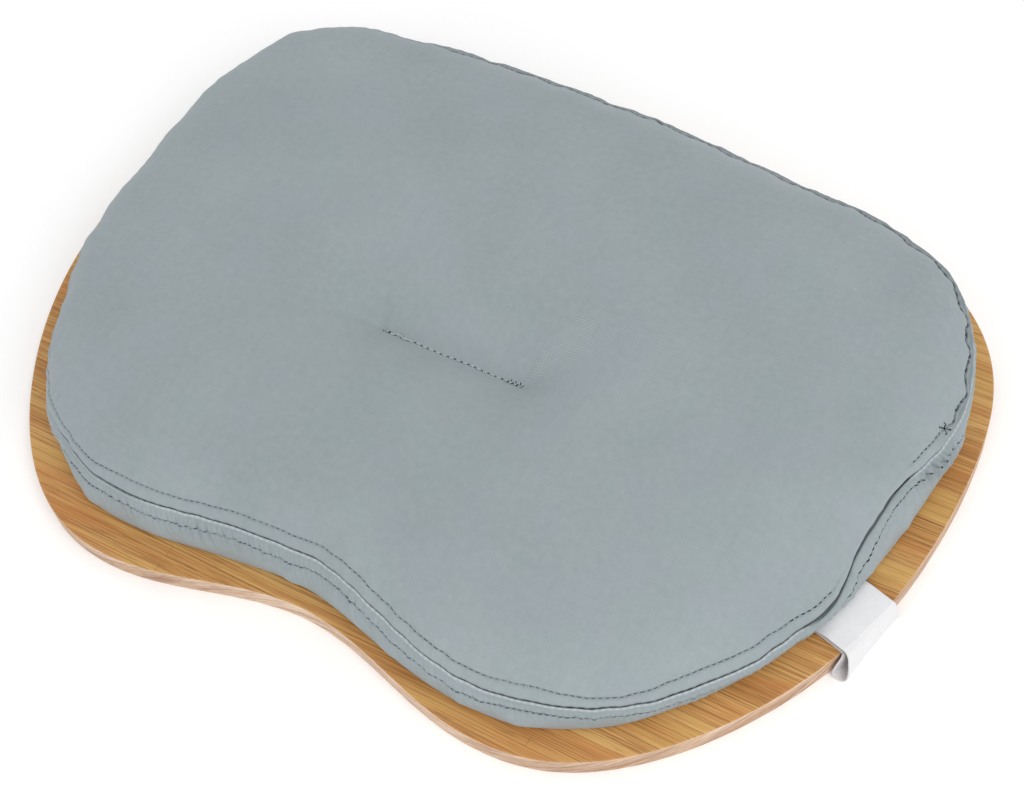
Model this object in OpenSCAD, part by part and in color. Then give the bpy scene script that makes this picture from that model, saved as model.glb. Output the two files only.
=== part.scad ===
// Lap desk: a bamboo work board with a soft cushion on its back.
// It lies work face down and cushion up. X runs along the long side, +Y is the
// straighter back edge, -Y the hollowed front edge that sits against the waist,
// and z = 0 is the work face. The origin is the middle of the work face.

/* [Tray] */
// Thickness of the bamboo board
board_t = 10; // [9:0.5:14]

/* [Cushion] */
// Height of the side seam above the board
seam_h = 26; // [22:1:32]
// Rise of the crown above the seam
crown = 20; // [14:1:26]
// Depth of the tuft below the crown
tuft_depth = 18; // [4:1:18]
// Length of the tuft stitch
tuft_l = 75; // [50:1:110]
// Thickness of the cover fabric
cloth_t = 1.2; // [0.8:0.1:1.6]
// Thickness of the wadding sheet under the top panel
wadding_t = 3; // [2:0.5:5]
// How far the cushion sits turned on the board, in degrees
cushion_turn = -2.2; // [-3:0.1:0]

/* [Carry strap] */
// Width of the strap tape
strap_w = 33; // [25:1:40]
// Thickness of the strap tape
strap_t = 0.8; // [0.6:0.1:1]
// How far the loop stands out from the board's edge
strap_out = 5.6; // [4.5:0.1:7]

/* [Fastenings] */
// Width of the hook and loop tapes
tape_w = 25; // [16:1:30]
// Thickness of one tape
tape_t = 1; // [0.8:0.1:1.2]
// Distance between the clamp screws
screw_pitch = 40; // [38:1:44]

/* [Hidden] */
$fn = 48;

bamboo = [0.73, 0.57, 0.36];
cloth = [0.62, 0.66, 0.67];
thread_c = [0.42, 0.46, 0.48];
white_c = [0.9, 0.9, 0.9];
steel = [0.7, 0.71, 0.72];
foam_c = [0.93, 0.91, 0.84];
wad_c = [0.96, 0.96, 0.95];
tape_c = [0.2, 0.21, 0.22];

// Half outlines, from the middle of the back edge round to the middle of the front.
board_half = [[0, 168], [42, 166], [84, 160.8], [125, 152.5], [165, 139], [200, 115.8], [222, 81],
              [229.5, 39], [229, -3], [222.8, -45], [209, -85], [188, -121.5], [160, -153],
              [124, -174], [82.5, -176.8], [41.5, -166.8], [0, -159.8]];
base_half = [[0, 152.5], [41, 151.5], [82, 148.5], [122, 143.5], [160, 134], [191, 113], [210, 80],
             [217, 43], [215.5, 4], [210, -33], [199, -68], [181.5, -103], [155.5, -136.5],
             [120, -158], [81, -163.3], [40, -157], [0, -151]];
seam_half = [[0, 146], [41, 145], [81, 142], [120, 137.5], [157, 129.5], [187, 110], [205, 79],
             [211, 43], [209, 4], [203.5, -33], [193.5, -67], [176.5, -101], [152, -133.5],
             [118.5, -155.5], [81, -161], [40, -153.5], [0, -147.5]];

function whole(h) = concat(h, [for (i = [len(h) - 2:-1:1]) [-h[i][0], h[i][1]]]);
function at(a, i) = a[(i % len(a) + len(a)) % len(a)];
// Control polygon of the smooth closed curve that passes through the points p
function poly_of(p, c, k) = k == 0 ? c :
    poly_of(p, [for (i = [0:len(p) - 1]) c[i] + 1.2 * (p[i] - (at(c, i - 1) + 4 * c[i] + at(c, i + 1)) / 6)], k - 1);
function curve_at(c, i, t) = (pow(1 - t, 3) * at(c, i - 1) + (3 * t * t * t - 6 * t * t + 4) * at(c, i)
    + (-3 * t * t * t + 3 * t * t + 3 * t + 1) * at(c, i + 1) + t * t * t * at(c, i + 2)) / 6;
function closed_curve(h, m) = let (p = whole(h), c = poly_of(p, p, 14))
    [for (i = [0:len(p) - 1], j = [0:m - 1]) curve_at(c, i, j / m)];
function unit(v) = v / norm(v);
function normal_at(p, i) = let (d = unit(at(p, i + 1) - at(p, i - 1))) [-d[1], d[0]];
// Outline p moved d mm inwards; the outlines run clockwise
function inset(p, d) = [for (i = [0:len(p) - 1]) p[i] - d * normal_at(p, i)];
function turned(p, a) = [for (q = p) [q[0] * cos(a) - q[1] * sin(a), q[0] * sin(a) + q[1] * cos(a)]];
function ys(p) = [for (q = p) q[1]];

board_raw = closed_curve(board_half, 4);
// The board's outline is centred on the origin
y_mid = (max(ys(board_raw)) + min(ys(board_raw))) / 2;
board_c = [for (q = board_raw) [q[0], q[1] - y_mid]];

lift = 0.3;                              // air between the hook tape and the loop tape
base_z = board_t + 2 * tape_t + lift;    // underside of the cushion
seam_z = board_t + seam_h;

function place(p) = [for (q = turned(p, cushion_turn)) [q[0], q[1] - y_mid]];
base_c = place(closed_curve(base_half, 2));
seam_c = place(closed_curve(seam_half, 2));
n_ring = len(seam_c);

// The tuft row lies along X on the crown, in a small flat oval where the crown's rings close
tuft_y = -28 - y_mid;
heart = [0, tuft_y];
function tuft_gap(q) = max(0, norm([max(0, abs(q[0]) - tuft_l / 2), q[1] - tuft_y]) - 5.5);
// Height of the top panel's outside at the point q, s of the way from the seam to the middle
function crown_z(q, s) = seam_z + crown * pow(1 - pow(1 - s, 3.4), 0.8)
    - tuft_depth * exp(-pow(tuft_gap(q) / 34, 1.25));
// Rings of the top panel, from the seam inwards
steps = [0, 0.045, 0.12, 0.24, 0.4, 0.58, 0.76, 0.9, 1];
function ring_xy(edge, s) = [for (q = edge) let (d = unit(q - heart)) q + (heart + [d[0] * (tuft_l / 2 + 5), d[1] * 5] - q) * s];
function ring_at(edge, s, drop) = [for (q = ring_xy(edge, s)) [q[0], q[1], crown_z(q, s) - drop]];

// A closed body from rings that share one count of points: the first ring's cap, the walls, the last ring's cap.
// Each cap is a fan round its middle point.
module loft(rings, cap_a, cap_b) {
    n = len(rings[0]);
    m = len(rings);
    pts = concat([for (r = rings) each r], [cap_a, cap_b]);
    a = n * m;
    b = n * m + 1;
    walls = [for (k = [0:m - 2], i = [0:n - 1]) let (j = (i + 1) % n)
        each [[k * n + i, k * n + j, (k + 1) * n + j], [k * n + i, (k + 1) * n + j, (k + 1) * n + i]]];
    low = [for (i = [0:n - 1]) [a, (i + 1) % n, i]];
    high = [for (i = [0:n - 1]) [b, (m - 1) * n + i, (m - 1) * n + (i + 1) % n]];
    polyhedron(points = pts, faces = concat(walls, low, high), convexity = 8);
}

// A closed hoop: the rings run on from the last back to the first.
module hoop(rings) {
    n = len(rings[0]);
    m = len(rings);
    polyhedron(points = [for (r = rings) each r],
        faces = [for (k = [0:m - 1], i = [0:n - 1]) let (j = (i + 1) % n, l = (k + 1) % m)
            each [[k * n + i, k * n + j, l * n + j], [k * n + i, l * n + j, l * n + i]]], convexity = 8);
}

// A thread of width w that follows the path, as a thin closed hoop with four sides
module thread_hoop(path, w) {
    side = [for (i = [0:len(path) - 1]) let (d = unit(at(path, i + 1) - at(path, i - 1))) unit([-d[1], d[0], 0])];
    hoop([for (a = [0, 1, 2, 3]) [for (i = [0:len(path) - 1])
        path[i] + (a == 0 ? [0, 0, -w] : a == 1 ? side[i] * w : a == 2 ? [0, 0, w] : -side[i] * w)]]);
}

/* The tray */

// The strap leaves the board here, and its tape runs along this direction
strap_at = [219.2, -58.3 - y_mid];
strap_dir = -16.4;
module at_strap() { translate([strap_at[0], strap_at[1], 0]) rotate([0, 0, strap_dir]) children(); }
pocket_d = 3.2;     // depth of the pocket for the strap's ends
pocket_w = 54;
pocket_u = [-40, -22];
plate_u = -31;
screw_r = 1.5;

module tray_board() {
    color(bamboo) difference() {
        linear_extrude(board_t) polygon(board_c);
        at_strap() {
            translate([pocket_u[0], -pocket_w / 2, board_t - pocket_d])
                cube([pocket_u[1] - pocket_u[0], pocket_w, pocket_d + 5]);
            // shallow ramp that the two plies run down into the pocket
            translate([0, strap_w / 2 + 1, 0]) rotate([90, 0, 0]) linear_extrude(strap_w + 2)
                polygon([[pocket_u[1] - 0.5, floor_z], [pocket_u[1] + 0.5, floor_z],
                         [pocket_u[1] + 13.5, floor_z + pocket_d * 1.5], [pocket_u[1] - 0.5, floor_z + pocket_d * 1.5]]);
            for (s = [-1, 1]) translate([plate_u, s * screw_pitch / 2, board_t - pocket_d - 5])
                cylinder(r = screw_r, h = 6);
        }
    }
}
// Places of the four pairs of tapes: centre x, centre y, length
tape_rows = [[-95, 105, 150], [95, 105, 150], [-110, -105, 110], [110, -105, 110]];
module tape_strip(row, w, t) {
    translate([row[0], row[1], 0]) rounded_strip(row[2], w, t, 4);
}
// A flat strip of length l and width w with corners of radius r
module rounded_strip(l, w, t, r) {
    linear_extrude(t) union() {
        square([l - 2 * r, w], center = true);
        square([l, w - 2 * r], center = true);
        for (x = [-1, 1], y = [-1, 1]) translate([x * (l / 2 - r), y * (w / 2 - r)]) circle(r = r);
    }
}
module hook_tapes() {
    color(tape_c) for (r = tape_rows) translate([0, 0, board_t]) tape_strip(r, tape_w, tape_t);
}

/* The carry strap, drawn as its side view in u (outwards) and z, then extruded along the edge */

ply = strap_t;
inner_z = board_t + 0.3;                  // underside of the inner ply on the board
outer_z = inner_z + ply + 0.1;            // underside of the outer ply
floor_z = board_t - pocket_d;
cut_u = -1.5;                             // where the fixed ends meet the loop
// Centre lines, in order from the clamp outwards
function fixed_line(z0, zf) = [[pocket_u[0] + 2, zf], [pocket_u[1] + 0.5, zf], [pocket_u[1] + 5, zf + (z0 - zf) * 0.6],
    [pocket_u[1] + 9, z0], [cut_u - 0.1, z0]];
// A flat band of thickness t along a polyline, as a polygon
function side_of(l, i) = let (a = l[max(0, i - 1)], b = l[min(len(l) - 1, i + 1)], d = unit(b - a)) [-d[1], d[0]];
function band(l, t) = concat([for (i = [0:len(l) - 1]) l[i] + side_of(l, i) * t / 2],
    [for (i = [len(l) - 1:-1:0]) l[i] - side_of(l, i) * t / 2]);
module side_view(shape) {
    at_strap() translate([0, strap_w / 2, 0]) rotate([90, 0, 0]) linear_extrude(strap_w) polygon(shape);
}
module strap_fixed_ends() {
    color(white_c) {
        side_view(band(fixed_line(inner_z + ply / 2, floor_z + 0.1 + ply / 2), ply));
        side_view(band(fixed_line(outer_z + ply / 2, floor_z + 0.2 + ply * 1.5), ply));
    }
}
// The loop, from the outer ply at the cut, out over the edge, down, under, and back up the edge
loop_line = let (o = outer_z + ply / 2, i = inner_z + ply / 2, s = strap_out)
    [[cut_u + 0.2, o], [s * 0.1, o], [s * 0.45, o - 1], [s * 0.75, o - 3.2], [s * 0.94, o - 6], [s, o - 8.5],
     [s * 0.9, 1.6], [s * 0.62, 0.8], [s * 0.36, 1.3], [s * 0.23, 2.6],
     [1.12, 5], [1.12, board_t - 2], [1.05, board_t - 0.6], [0.7, board_t + 0.3], [0.1, i], [cut_u + 0.2, i]];
module strap_loop() { color(white_c) side_view(band(loop_line, ply)); }

module strap_clamp_plate() {
    z = floor_z + 0.3 + 2 * ply;
    color(steel) at_strap() difference() {
        translate([plate_u, 0, z]) rounded_strip(14, screw_pitch + 11, 1.1, 2.5);
        for (s = [-1, 1]) translate([plate_u, s * screw_pitch / 2, z]) {
            translate([0, 0, -1]) cylinder(r = 1.7, h = 4);
            translate([0, 0, 0.35]) cylinder(r1 = 1.75, r2 = 3.3, h = 1.1);
        }
    }
}
module clamp_screws() {
    z = floor_z + 0.3 + 2 * ply;
    color(steel) at_strap() for (s = [-1, 1]) translate([plate_u, s * screw_pitch / 2, 0]) difference() {
        union() {
            translate([0, 0, floor_z - 4.5]) cylinder(r = screw_r - 0.05, h = z + 0.4 - floor_z + 4.5);
            translate([0, 0, z + 0.35]) cylinder(r1 = 1.6, r2 = 2.6, h = 0.75);
        }
        translate([-1.6, -0.3, z + 0.7]) cube([3.2, 0.6, 1]);
        translate([-0.3, -1.6, z + 0.7]) cube([0.6, 3.2, 1]);
    }
}

/* The cushion */

module cover_top_panel() {
    color(cloth) shell([for (s = steps) ring_at(seam_c, s, 0)], [heart[0], heart[1], tuft_z], cloth_t);
}
// A sheet of thickness t under the rings, closed in the middle and square at its edge
module shell(rings, top, t) {
    n = len(rings[0]);
    m = len(rings);
    up = [for (r = rings) each r];
    pts = concat(up, [for (p = up) p - [0, 0, t]], [top, top - [0, 0, t]]);
    o = n * m;
    c = 2 * n * m;
    skin = [for (k = [0:m - 2], i = [0:n - 1]) let (j = (i + 1) % n)
        each [[k * n + i, k * n + j, (k + 1) * n + j], [k * n + i, (k + 1) * n + j, (k + 1) * n + i]]];
    cap = [for (i = [0:n - 1]) [c, (m - 1) * n + i, (m - 1) * n + (i + 1) % n]];
    back = [for (f = skin) [f[2] + o, f[1] + o, f[0] + o]];
    under = [for (i = [0:n - 1]) [c + 1, o + (m - 1) * n + (i + 1) % n, o + (m - 1) * n + i]];
    rim = [for (i = [0:n - 1]) let (j = (i + 1) % n) each [[j, i, o + i], [j, o + i, o + j]]];
    polyhedron(points = pts, faces = concat(skin, cap, back, under, rim), convexity = 10);
}

// The side band bulges a little between the base and the seam
band_top = seam_z - cloth_t - 0.3;
function wall_xy(f, d) = let (b = sin(180 * f) * 2.2)
    [for (i = [0:n_ring - 1]) base_c[i] + (seam_c[i] - base_c[i]) * f + normal_at(base_c, i) * (b - d)];
function wall_ring(f, d) = [for (q = wall_xy(f, d)) [q[0], q[1], base_z + (band_top - base_z) * f]];
module cover_side_band() {
    f = [0, 0.3, 0.62, 1];
    color(cloth) hoop(concat([for (x = f) wall_ring(x, 0)], [for (k = [3:-1:0]) wall_ring(f[k], cloth_t)]));
}
module cover_base_panel() {
    color(cloth) translate([0, 0, base_z]) linear_extrude(cloth_t) polygon([for (q = wall_ring(0, cloth_t + 0.1)) [q[0], q[1]]]);
}
// The turned edges of the two cloths hang inside the seam as a narrow hem
module seam_allowance() {
    z = band_top - 0.1;
    a = [for (q = wall_ring(1, cloth_t + 0.3)) [q[0], q[1], z - 0.2]];
    b = [for (q = wall_ring(1, cloth_t + 2)) [q[0], q[1], z - 0.2]];
    c = [for (q = wall_ring(0.8, cloth_t + 2)) [q[0], q[1], z - 7]];
    d = [for (q = wall_ring(0.8, cloth_t + 0.5)) [q[0], q[1], z - 7]];
    color(cloth) hoop([d, a, b, c]);
}
module upper_topstitch() {
    color(thread_c) thread_hoop([for (p = ring_at(seam_c, steps[1], 0)) p + [0, 0, 0.65]], 0.5);
}
module lower_topstitch() {
    color(thread_c) thread_hoop(wall_ring(0.62, -0.75), 0.5);
}
module base_seam_thread() {
    color(thread_c) thread_hoop([for (q = wall_ring(0, cloth_t + 1.6)) [q[0], q[1], base_z + cloth_t + 0.5]], 0.4);
}

tuft_z = crown_z([0, tuft_y], 1);
module tuft_stitch() {
    color(thread_c) translate([-tuft_l / 2 + 3, tuft_y - 0.5, tuft_z + 0.1]) cube([tuft_l - 6, 1, 0.8]);
}
module tuft_bartacks() {
    color(thread_c) for (s = [-1, 1]) translate([s * (tuft_l / 2 + 0.6), tuft_y, tuft_z + 0.1]) for (k = [-1:1])
        translate([k * 1.7, 0, 0]) rotate([0, 0, 25 * k]) translate([-0.5, -1.6, 0]) cube([1, 3.2, 0.9]);
}
module tuft_ties() {
    color(thread_c) for (x = [-30:12:30]) translate([x, tuft_y, base_z + cloth_t + 0.1])
        cylinder(r = 0.6, h = tuft_z - 2 * cloth_t - base_z - 0.2, $fn = 24);
}

// The foam and the wadding follow the cover at a small distance, with a slit for the tuft
pad_edge = [for (q = wall_ring(1, cloth_t + 2.6)) [q[0], q[1]]];
function pad_ring(s, drop) = ring_at(pad_edge, s, drop);
module tuft_slit(top) {
    translate([-tuft_l / 2 - 2, tuft_y - 2.5, base_z - 1]) cube([tuft_l + 4, 5, top]);
}
module wadding_sheet() {
    d = cloth_t + 1.4;
    color(wad_c) difference() {
        shell([for (s = steps) pad_ring(s, d)], [heart[0], heart[1], tuft_z - d], wadding_t);
        tuft_slit(60);
    }
}
module foam_core() {
    d = cloth_t + wadding_t + 2.4;
    lower = base_z + cloth_t + 0.3;
    color(foam_c) difference() {
        loft(concat(
            [[for (q = wall_ring(0, cloth_t + 3.2)) [q[0], q[1], lower]]],
            [[for (q = wall_ring(0.4, cloth_t + 2.6)) [q[0], q[1], lower + 8]]],
            [for (s = steps) pad_ring(s, d)]),
            [heart[0], heart[1], lower], [heart[0], heart[1], tuft_z - d]);
        tuft_slit(60);
    }
}
module loop_tapes() {
    color(tape_c) for (r = tape_rows) translate([0, 0, board_t + tape_t + lift]) tape_strip(r, tape_w, tape_t);
}
// One flat seam round each tape, set into the base panel's underside between the tape and the cloth edge
module loop_tape_thread() {
    color(thread_c) for (r = tape_rows) translate([r[0], r[1], base_z - 0.45]) linear_extrude(0.4) difference() {
        square([r[2] + 3, tape_w + 3], center = true);
        square([r[2] + 1.6, tape_w + 1.6], center = true);
    }
}

tray_board();
hook_tapes();
strap_fixed_ends();
strap_clamp_plate();
clamp_screws();
strap_loop();
cover_top_panel();
cover_side_band();
cover_base_panel();
seam_allowance();
upper_topstitch();
lower_topstitch();
base_seam_thread();
tuft_stitch();
tuft_bartacks();
tuft_ties();
wadding_sheet();
foam_core();
loop_tapes();
loop_tape_thread();
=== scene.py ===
import math

import bpy
import bmesh
import numpy as np
from mathutils import Matrix, Vector


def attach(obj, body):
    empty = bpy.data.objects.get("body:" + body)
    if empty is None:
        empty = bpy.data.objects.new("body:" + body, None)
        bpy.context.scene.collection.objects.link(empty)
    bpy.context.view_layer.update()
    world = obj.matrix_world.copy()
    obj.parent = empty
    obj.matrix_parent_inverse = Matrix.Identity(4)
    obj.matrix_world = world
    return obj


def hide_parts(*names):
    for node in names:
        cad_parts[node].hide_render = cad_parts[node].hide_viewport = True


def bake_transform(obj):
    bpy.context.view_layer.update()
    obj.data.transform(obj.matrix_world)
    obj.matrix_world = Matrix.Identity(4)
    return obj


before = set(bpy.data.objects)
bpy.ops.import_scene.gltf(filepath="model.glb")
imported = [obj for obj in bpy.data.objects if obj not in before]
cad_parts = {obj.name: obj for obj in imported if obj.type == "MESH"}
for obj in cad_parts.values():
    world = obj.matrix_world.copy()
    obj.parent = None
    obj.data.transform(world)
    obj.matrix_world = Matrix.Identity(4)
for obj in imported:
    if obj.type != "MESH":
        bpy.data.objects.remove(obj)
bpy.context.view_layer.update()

MM = 0.001
TAU = 2 * math.pi

# ---------------------------------------------------------------- camera and light
scene = bpy.context.scene
scene.view_settings.view_transform = "Standard"
scene.view_settings.look = "None"
scene.view_settings.exposure = 0.0
scene.view_settings.gamma = 1.0

cam_data = bpy.data.cameras.new("camera")
cam_data.lens = 58.0
cam_data.sensor_width = 36.0
cam_data.clip_start = 0.01
cam_data.clip_end = 50.0
camera = bpy.data.objects.new("camera", cam_data)
scene.collection.objects.link(camera)
right = Vector((0.86327, 0.49654, -0.09062))
down = Vector((0.35641, -0.7268, -0.58714))
ahead = Vector((-0.3574, 0.47457, -0.80439))
turn = Matrix((right, -down, -ahead)).transposed().to_4x4()
camera.matrix_world = Matrix.Translation((0.30271, -0.38386, 0.6332)) @ turn
scene.camera = camera


def area_light(name, place, target, size, power, colour=(1, 1, 1)):
    data = bpy.data.lights.new(name, "AREA")
    data.shape = "DISK"
    data.size = size
    data.energy = power
    data.color = colour
    lamp = bpy.data.objects.new(name, data)
    scene.collection.objects.link(lamp)
    lamp.location = place
    lamp.rotation_mode = "QUATERNION"
    lamp.rotation_quaternion = (Vector(target) - Vector(place)).to_track_quat("-Z", "Y")
    return lamp


area_light("key_soft", (1.10, -0.50, 1.15), (0, 0, 0.02), 1.0, 8.2, (1.0, 0.998, 0.992))
area_light("fill_front", (-0.35, -1.7, 0.85), (0, 0, 0.02), 1.4, 3.3, (0.985, 0.992, 1.0))

world = bpy.data.worlds.new("studio")
scene.world = world
world.use_nodes = True
world.node_tree.nodes["Background"].inputs["Color"].default_value = (1.0, 1.0, 1.0, 1.0)
world.node_tree.nodes["Background"].inputs["Strength"].default_value = 0.83


# ---------------------------------------------------------------- node helpers
def lin(r, g, b):
    """An sRGB colour, 0 to 255, as linear light."""
    out = []
    for c in (r, g, b):
        c = c / 255
        out.append(c / 12.92 if c <= 0.04045 else ((c + 0.055) / 1.055) ** 2.4)
    return (*out, 1.0)


class Tree:
    """A small writer for shader nodes."""

    def __init__(self, name, rough=0.6, spec=0.3):
        self.mat = bpy.data.materials.new(name)
        self.mat.use_nodes = True
        self.t = self.mat.node_tree
        self.t.nodes.clear()
        self.out = self.t.nodes.new("ShaderNodeOutputMaterial")
        self.bsdf = self.t.nodes.new("ShaderNodeBsdfPrincipled")
        self.t.links.new(self.bsdf.outputs[0], self.out.inputs["Surface"])
        self.bsdf.inputs["Roughness"].default_value = rough
        self.bsdf.inputs["Specular IOR Level"].default_value = spec

    def put(self, socket, value):
        if isinstance(value, bpy.types.NodeSocket):
            self.t.links.new(value, socket)
        else:
            socket.default_value = value

    def set(self, name, value):
        self.put(self.bsdf.inputs[name], value)

    def node(self, kind, out=0, props=None, **inputs):
        n = self.t.nodes.new(kind)
        for k, v in (props or {}).items():
            setattr(n, k, v)
        for k, v in inputs.items():
            self.put(n.inputs[int(k[1:])] if k[0] == "i" and k[1:].isdigit() else n.inputs[k], v)
        return n.outputs[out]

    def math(self, op, a, b=0.0, c=0.0, clamp=False):
        return self.node("ShaderNodeMath", props={"operation": op, "use_clamp": clamp}, i0=a, i1=b, i2=c)

    def vec(self, op, a, b=(0, 0, 0)):
        return self.node("ShaderNodeVectorMath", props={"operation": op}, i0=a, i1=b)

    def parts(self, v):
        n = self.t.nodes.new("ShaderNodeSeparateXYZ")
        self.put(n.inputs[0], v)
        return n.outputs[0], n.outputs[1], n.outputs[2]

    def join(self, x, y, z=0.0):
        return self.node("ShaderNodeCombineXYZ", i0=x, i1=y, i2=z)

    def place(self):
        return self.node("ShaderNodeTexCoord", out=3)

    def attr(self, name, out=2):
        return self.node("ShaderNodeAttribute", out=out, props={"attribute_name": name})

    def noise(self, v, scale=1.0, detail=2.0, rough=0.5, distortion=0.0, dims="3D"):
        return self.node("ShaderNodeTexNoise", props={"noise_dimensions": dims}, Vector=v, Scale=scale, Detail=detail,
                         Roughness=rough, Distortion=distortion)

    def ramp(self, fac, stops, interp="LINEAR"):
        n = self.t.nodes.new("ShaderNodeValToRGB")
        n.color_ramp.interpolation = interp
        e = n.color_ramp.elements
        while len(e) < len(stops):
            e.new(0.5)
        for k, (at, colour) in enumerate(stops):
            e[k].position = at
            e[k].color = colour if isinstance(colour, tuple) else (colour, colour, colour, 1)
        self.put(n.inputs[0], fac)
        return n.outputs[0]

    def mix(self, fac, a, b, blend="MIX"):
        n = self.t.nodes.new("ShaderNodeMix")
        n.data_type = "RGBA"
        n.blend_type = blend
        self.put(n.inputs[0], fac)
        self.put(n.inputs[6], a)
        self.put(n.inputs[7], b)
        return n.outputs[2]

    def remap(self, v, a, b, c=0.0, d=1.0):
        return self.node("ShaderNodeMapRange", **{"Value": v, "From Min": a, "From Max": b, "To Min": c, "To Max": d})

    def bump(self, height, strength=0.5, distance=0.0002, normal=None):
        kw = {"Strength": strength, "Distance": distance, "Height": height}
        if normal is not None:
            kw["Normal"] = normal
        n = self.node("ShaderNodeBump", **kw)
        return n


# ---------------------------------------------------------------- materials
def bamboo_face():
    m = Tree("bamboo_face", rough=0.46, spec=0.30)
    x, y, z = m.parts(m.place())
    sway = m.noise(m.join(m.math("MULTIPLY", x, 7.0), m.math("MULTIPLY", y, 16.0)), detail=1.0)
    yw = m.math("ADD", y, m.math("MULTIPLY", m.math("SUBTRACT", sway, 0.5), 0.0018))
    # strips side by side, each with its own tone, butted end to end
    strips = m.t.nodes.new("ShaderNodeTexBrick")
    strips.offset = 0.37
    strips.offset_frequency = 2
    strips.squash = 1.0
    m.put(strips.inputs["Vector"], m.join(m.math("ADD", x, 0.071), m.math("ADD", yw, 0.0023)))
    for name, value in {"Color1": (0, 0, 0, 1), "Color2": (1, 1, 1, 1), "Mortar": (0.5, 0.5, 0.5, 1), "Scale": 1.0,
                        "Mortar Size": 0.00014, "Mortar Smooth": 0.1, "Bias": 0.0, "Brick Width": 0.30,
                        "Row Height": 0.0048}.items():
        strips.inputs[name].default_value = value
    tone = strips.outputs["Color"]
    seam = strips.outputs["Fac"]
    # each strip is shifted along, so its fibres differ from its neighbours'
    row = m.math("FLOOR", m.math("DIVIDE", m.math("ADD", yw, 0.0023), 0.0048))
    xs = m.math("ADD", x, m.math("MULTIPLY", row, 0.173))
    streak = m.noise(m.join(m.math("MULTIPLY", xs, 8.0), m.math("MULTIPLY", yw, 1050.0), m.math("MULTIPLY", z, 500.0)),
                     detail=2.0, rough=0.6)
    fibre = m.noise(m.join(m.math("MULTIPLY", xs, 30.0), m.math("MULTIPLY", yw, 2300.0), m.math("MULTIPLY", z, 1100.0)),
                    detail=1.0, rough=0.5)
    broad = m.noise(m.join(m.math("MULTIPLY", x, 7.0), m.math("MULTIPLY", y, 46.0), 0.7), detail=2.0)
    mixv = m.math("ADD", m.math("MULTIPLY", tone, 0.12), m.math("MULTIPLY", streak, 0.62))
    mixv = m.math("ADD", mixv, m.math("MULTIPLY", broad, 0.34))
    mixv = m.math("ADD", mixv, m.math("MULTIPLY", m.math("SUBTRACT", fibre, 0.5), 0.5))
    colour = m.ramp(mixv, [(0.36, lin(168, 113, 60)), (0.47, lin(187, 134, 76)), (0.57, lin(200, 151, 90)),
                           (0.68, lin(210, 166, 102)), (0.80, lin(220, 182, 120))])
    line = m.noise(m.join(m.math("MULTIPLY", xs, 9.0), m.math("MULTIPLY", yw, 760.0), 3.1), detail=2.0, rough=0.5)
    dark = m.remap(line, 0.60, 0.635, 0.0, 1.0)
    colour = m.mix(m.math("MULTIPLY", dark, 0.40), colour, lin(132, 82, 42))
    short = m.noise(m.join(m.math("MULTIPLY", x, 60.0), m.math("MULTIPLY", yw, 1500.0), 8.3), detail=1.0, rough=0.5)
    colour = m.mix(m.math("MULTIPLY", m.remap(short, 0.62, 0.68), 0.45), colour, lin(116, 70, 36))
    warm = m.noise(m.join(m.math("MULTIPLY", x, 14.0), m.math("MULTIPLY", yw, 95.0), 5.5), detail=2.0)
    colour = m.mix(m.math("MULTIPLY", m.remap(warm, 0.52, 0.70), 0.55), colour, lin(191, 124, 66))
    pale = m.noise(m.join(m.math("MULTIPLY", x, 10.0), m.math("MULTIPLY", yw, 70.0), 15.5), detail=1.0)
    colour = m.mix(m.math("MULTIPLY", m.remap(pale, 0.54, 0.70), 0.55), colour, lin(214, 172, 100))
    colour = m.mix(m.math("MULTIPLY", seam, 0.55), colour, lin(112, 70, 36))
    # Painted highlight along the arrises, weighted by the rim attribute.
    colour = m.mix(m.math("MULTIPLY", m.attr("rim"), 0.10), colour, lin(214, 180, 140))
    m.set("Base Color", colour)
    m.set("Roughness", m.remap(fibre, 0.3, 0.7, 0.40, 0.54))
    m.set("Normal", m.bump(m.math("ADD", fibre, m.math("MULTIPLY", streak, 0.6)), 0.25, 0.00010))
    return m.mat


def bamboo_edge():
    """The board's cut side: paler, with slanting fibre."""
    m = Tree("bamboo_edge", rough=0.62, spec=0.22)
    x, y, z = m.parts(m.place())
    run = m.attr("along")
    slant = m.join(m.math("MULTIPLY", run, 30.0), m.math("ADD", m.math("MULTIPLY", z, 520.0), m.math("MULTIPLY", run, 150.0)))
    a = m.noise(slant, detail=3.0, rough=0.55)
    b = m.noise(m.join(m.math("MULTIPLY", run, 260.0), m.math("ADD", m.math("MULTIPLY", z, 1700.0), m.math("MULTIPLY", run, 500.0)), 1.7), detail=2.0, rough=0.5)
    c = m.noise(m.join(m.math("MULTIPLY", run, 14.0), m.math("MULTIPLY", z, 60.0), 4.4), detail=1.0)
    v = m.math("ADD", m.math("MULTIPLY", a, 0.5), m.math("ADD", m.math("MULTIPLY", b, 0.25), m.math("MULTIPLY", c, 0.3)))
    colour = m.ramp(v, [(0.38, lin(158, 122, 98)), (0.49, lin(192, 162, 138)), (0.57, lin(212, 186, 164)), (0.68, lin(226, 206, 188))])
    warm = m.noise(m.join(m.math("MULTIPLY", run, 25.0), m.math("ADD", m.math("MULTIPLY", z, 300.0), m.math("MULTIPLY", run, 120.0)), 9.0), detail=2.0)
    colour = m.mix(m.math("MULTIPLY", m.remap(warm, 0.56, 0.66), 0.45), colour, lin(196, 150, 104))
    # Painted highlight along the arrises, weighted by the rim attribute.
    colour = m.mix(m.math("MULTIPLY", m.attr("rim"), 0.25), colour, lin(228, 200, 172))
    m.set("Base Color", colour)
    m.set("Roughness", m.remap(b, 0.3, 0.7, 0.54, 0.70))
    m.set("Normal", m.bump(m.math("ADD", b, a), 0.25, 0.00010))
    return m.mat


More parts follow.
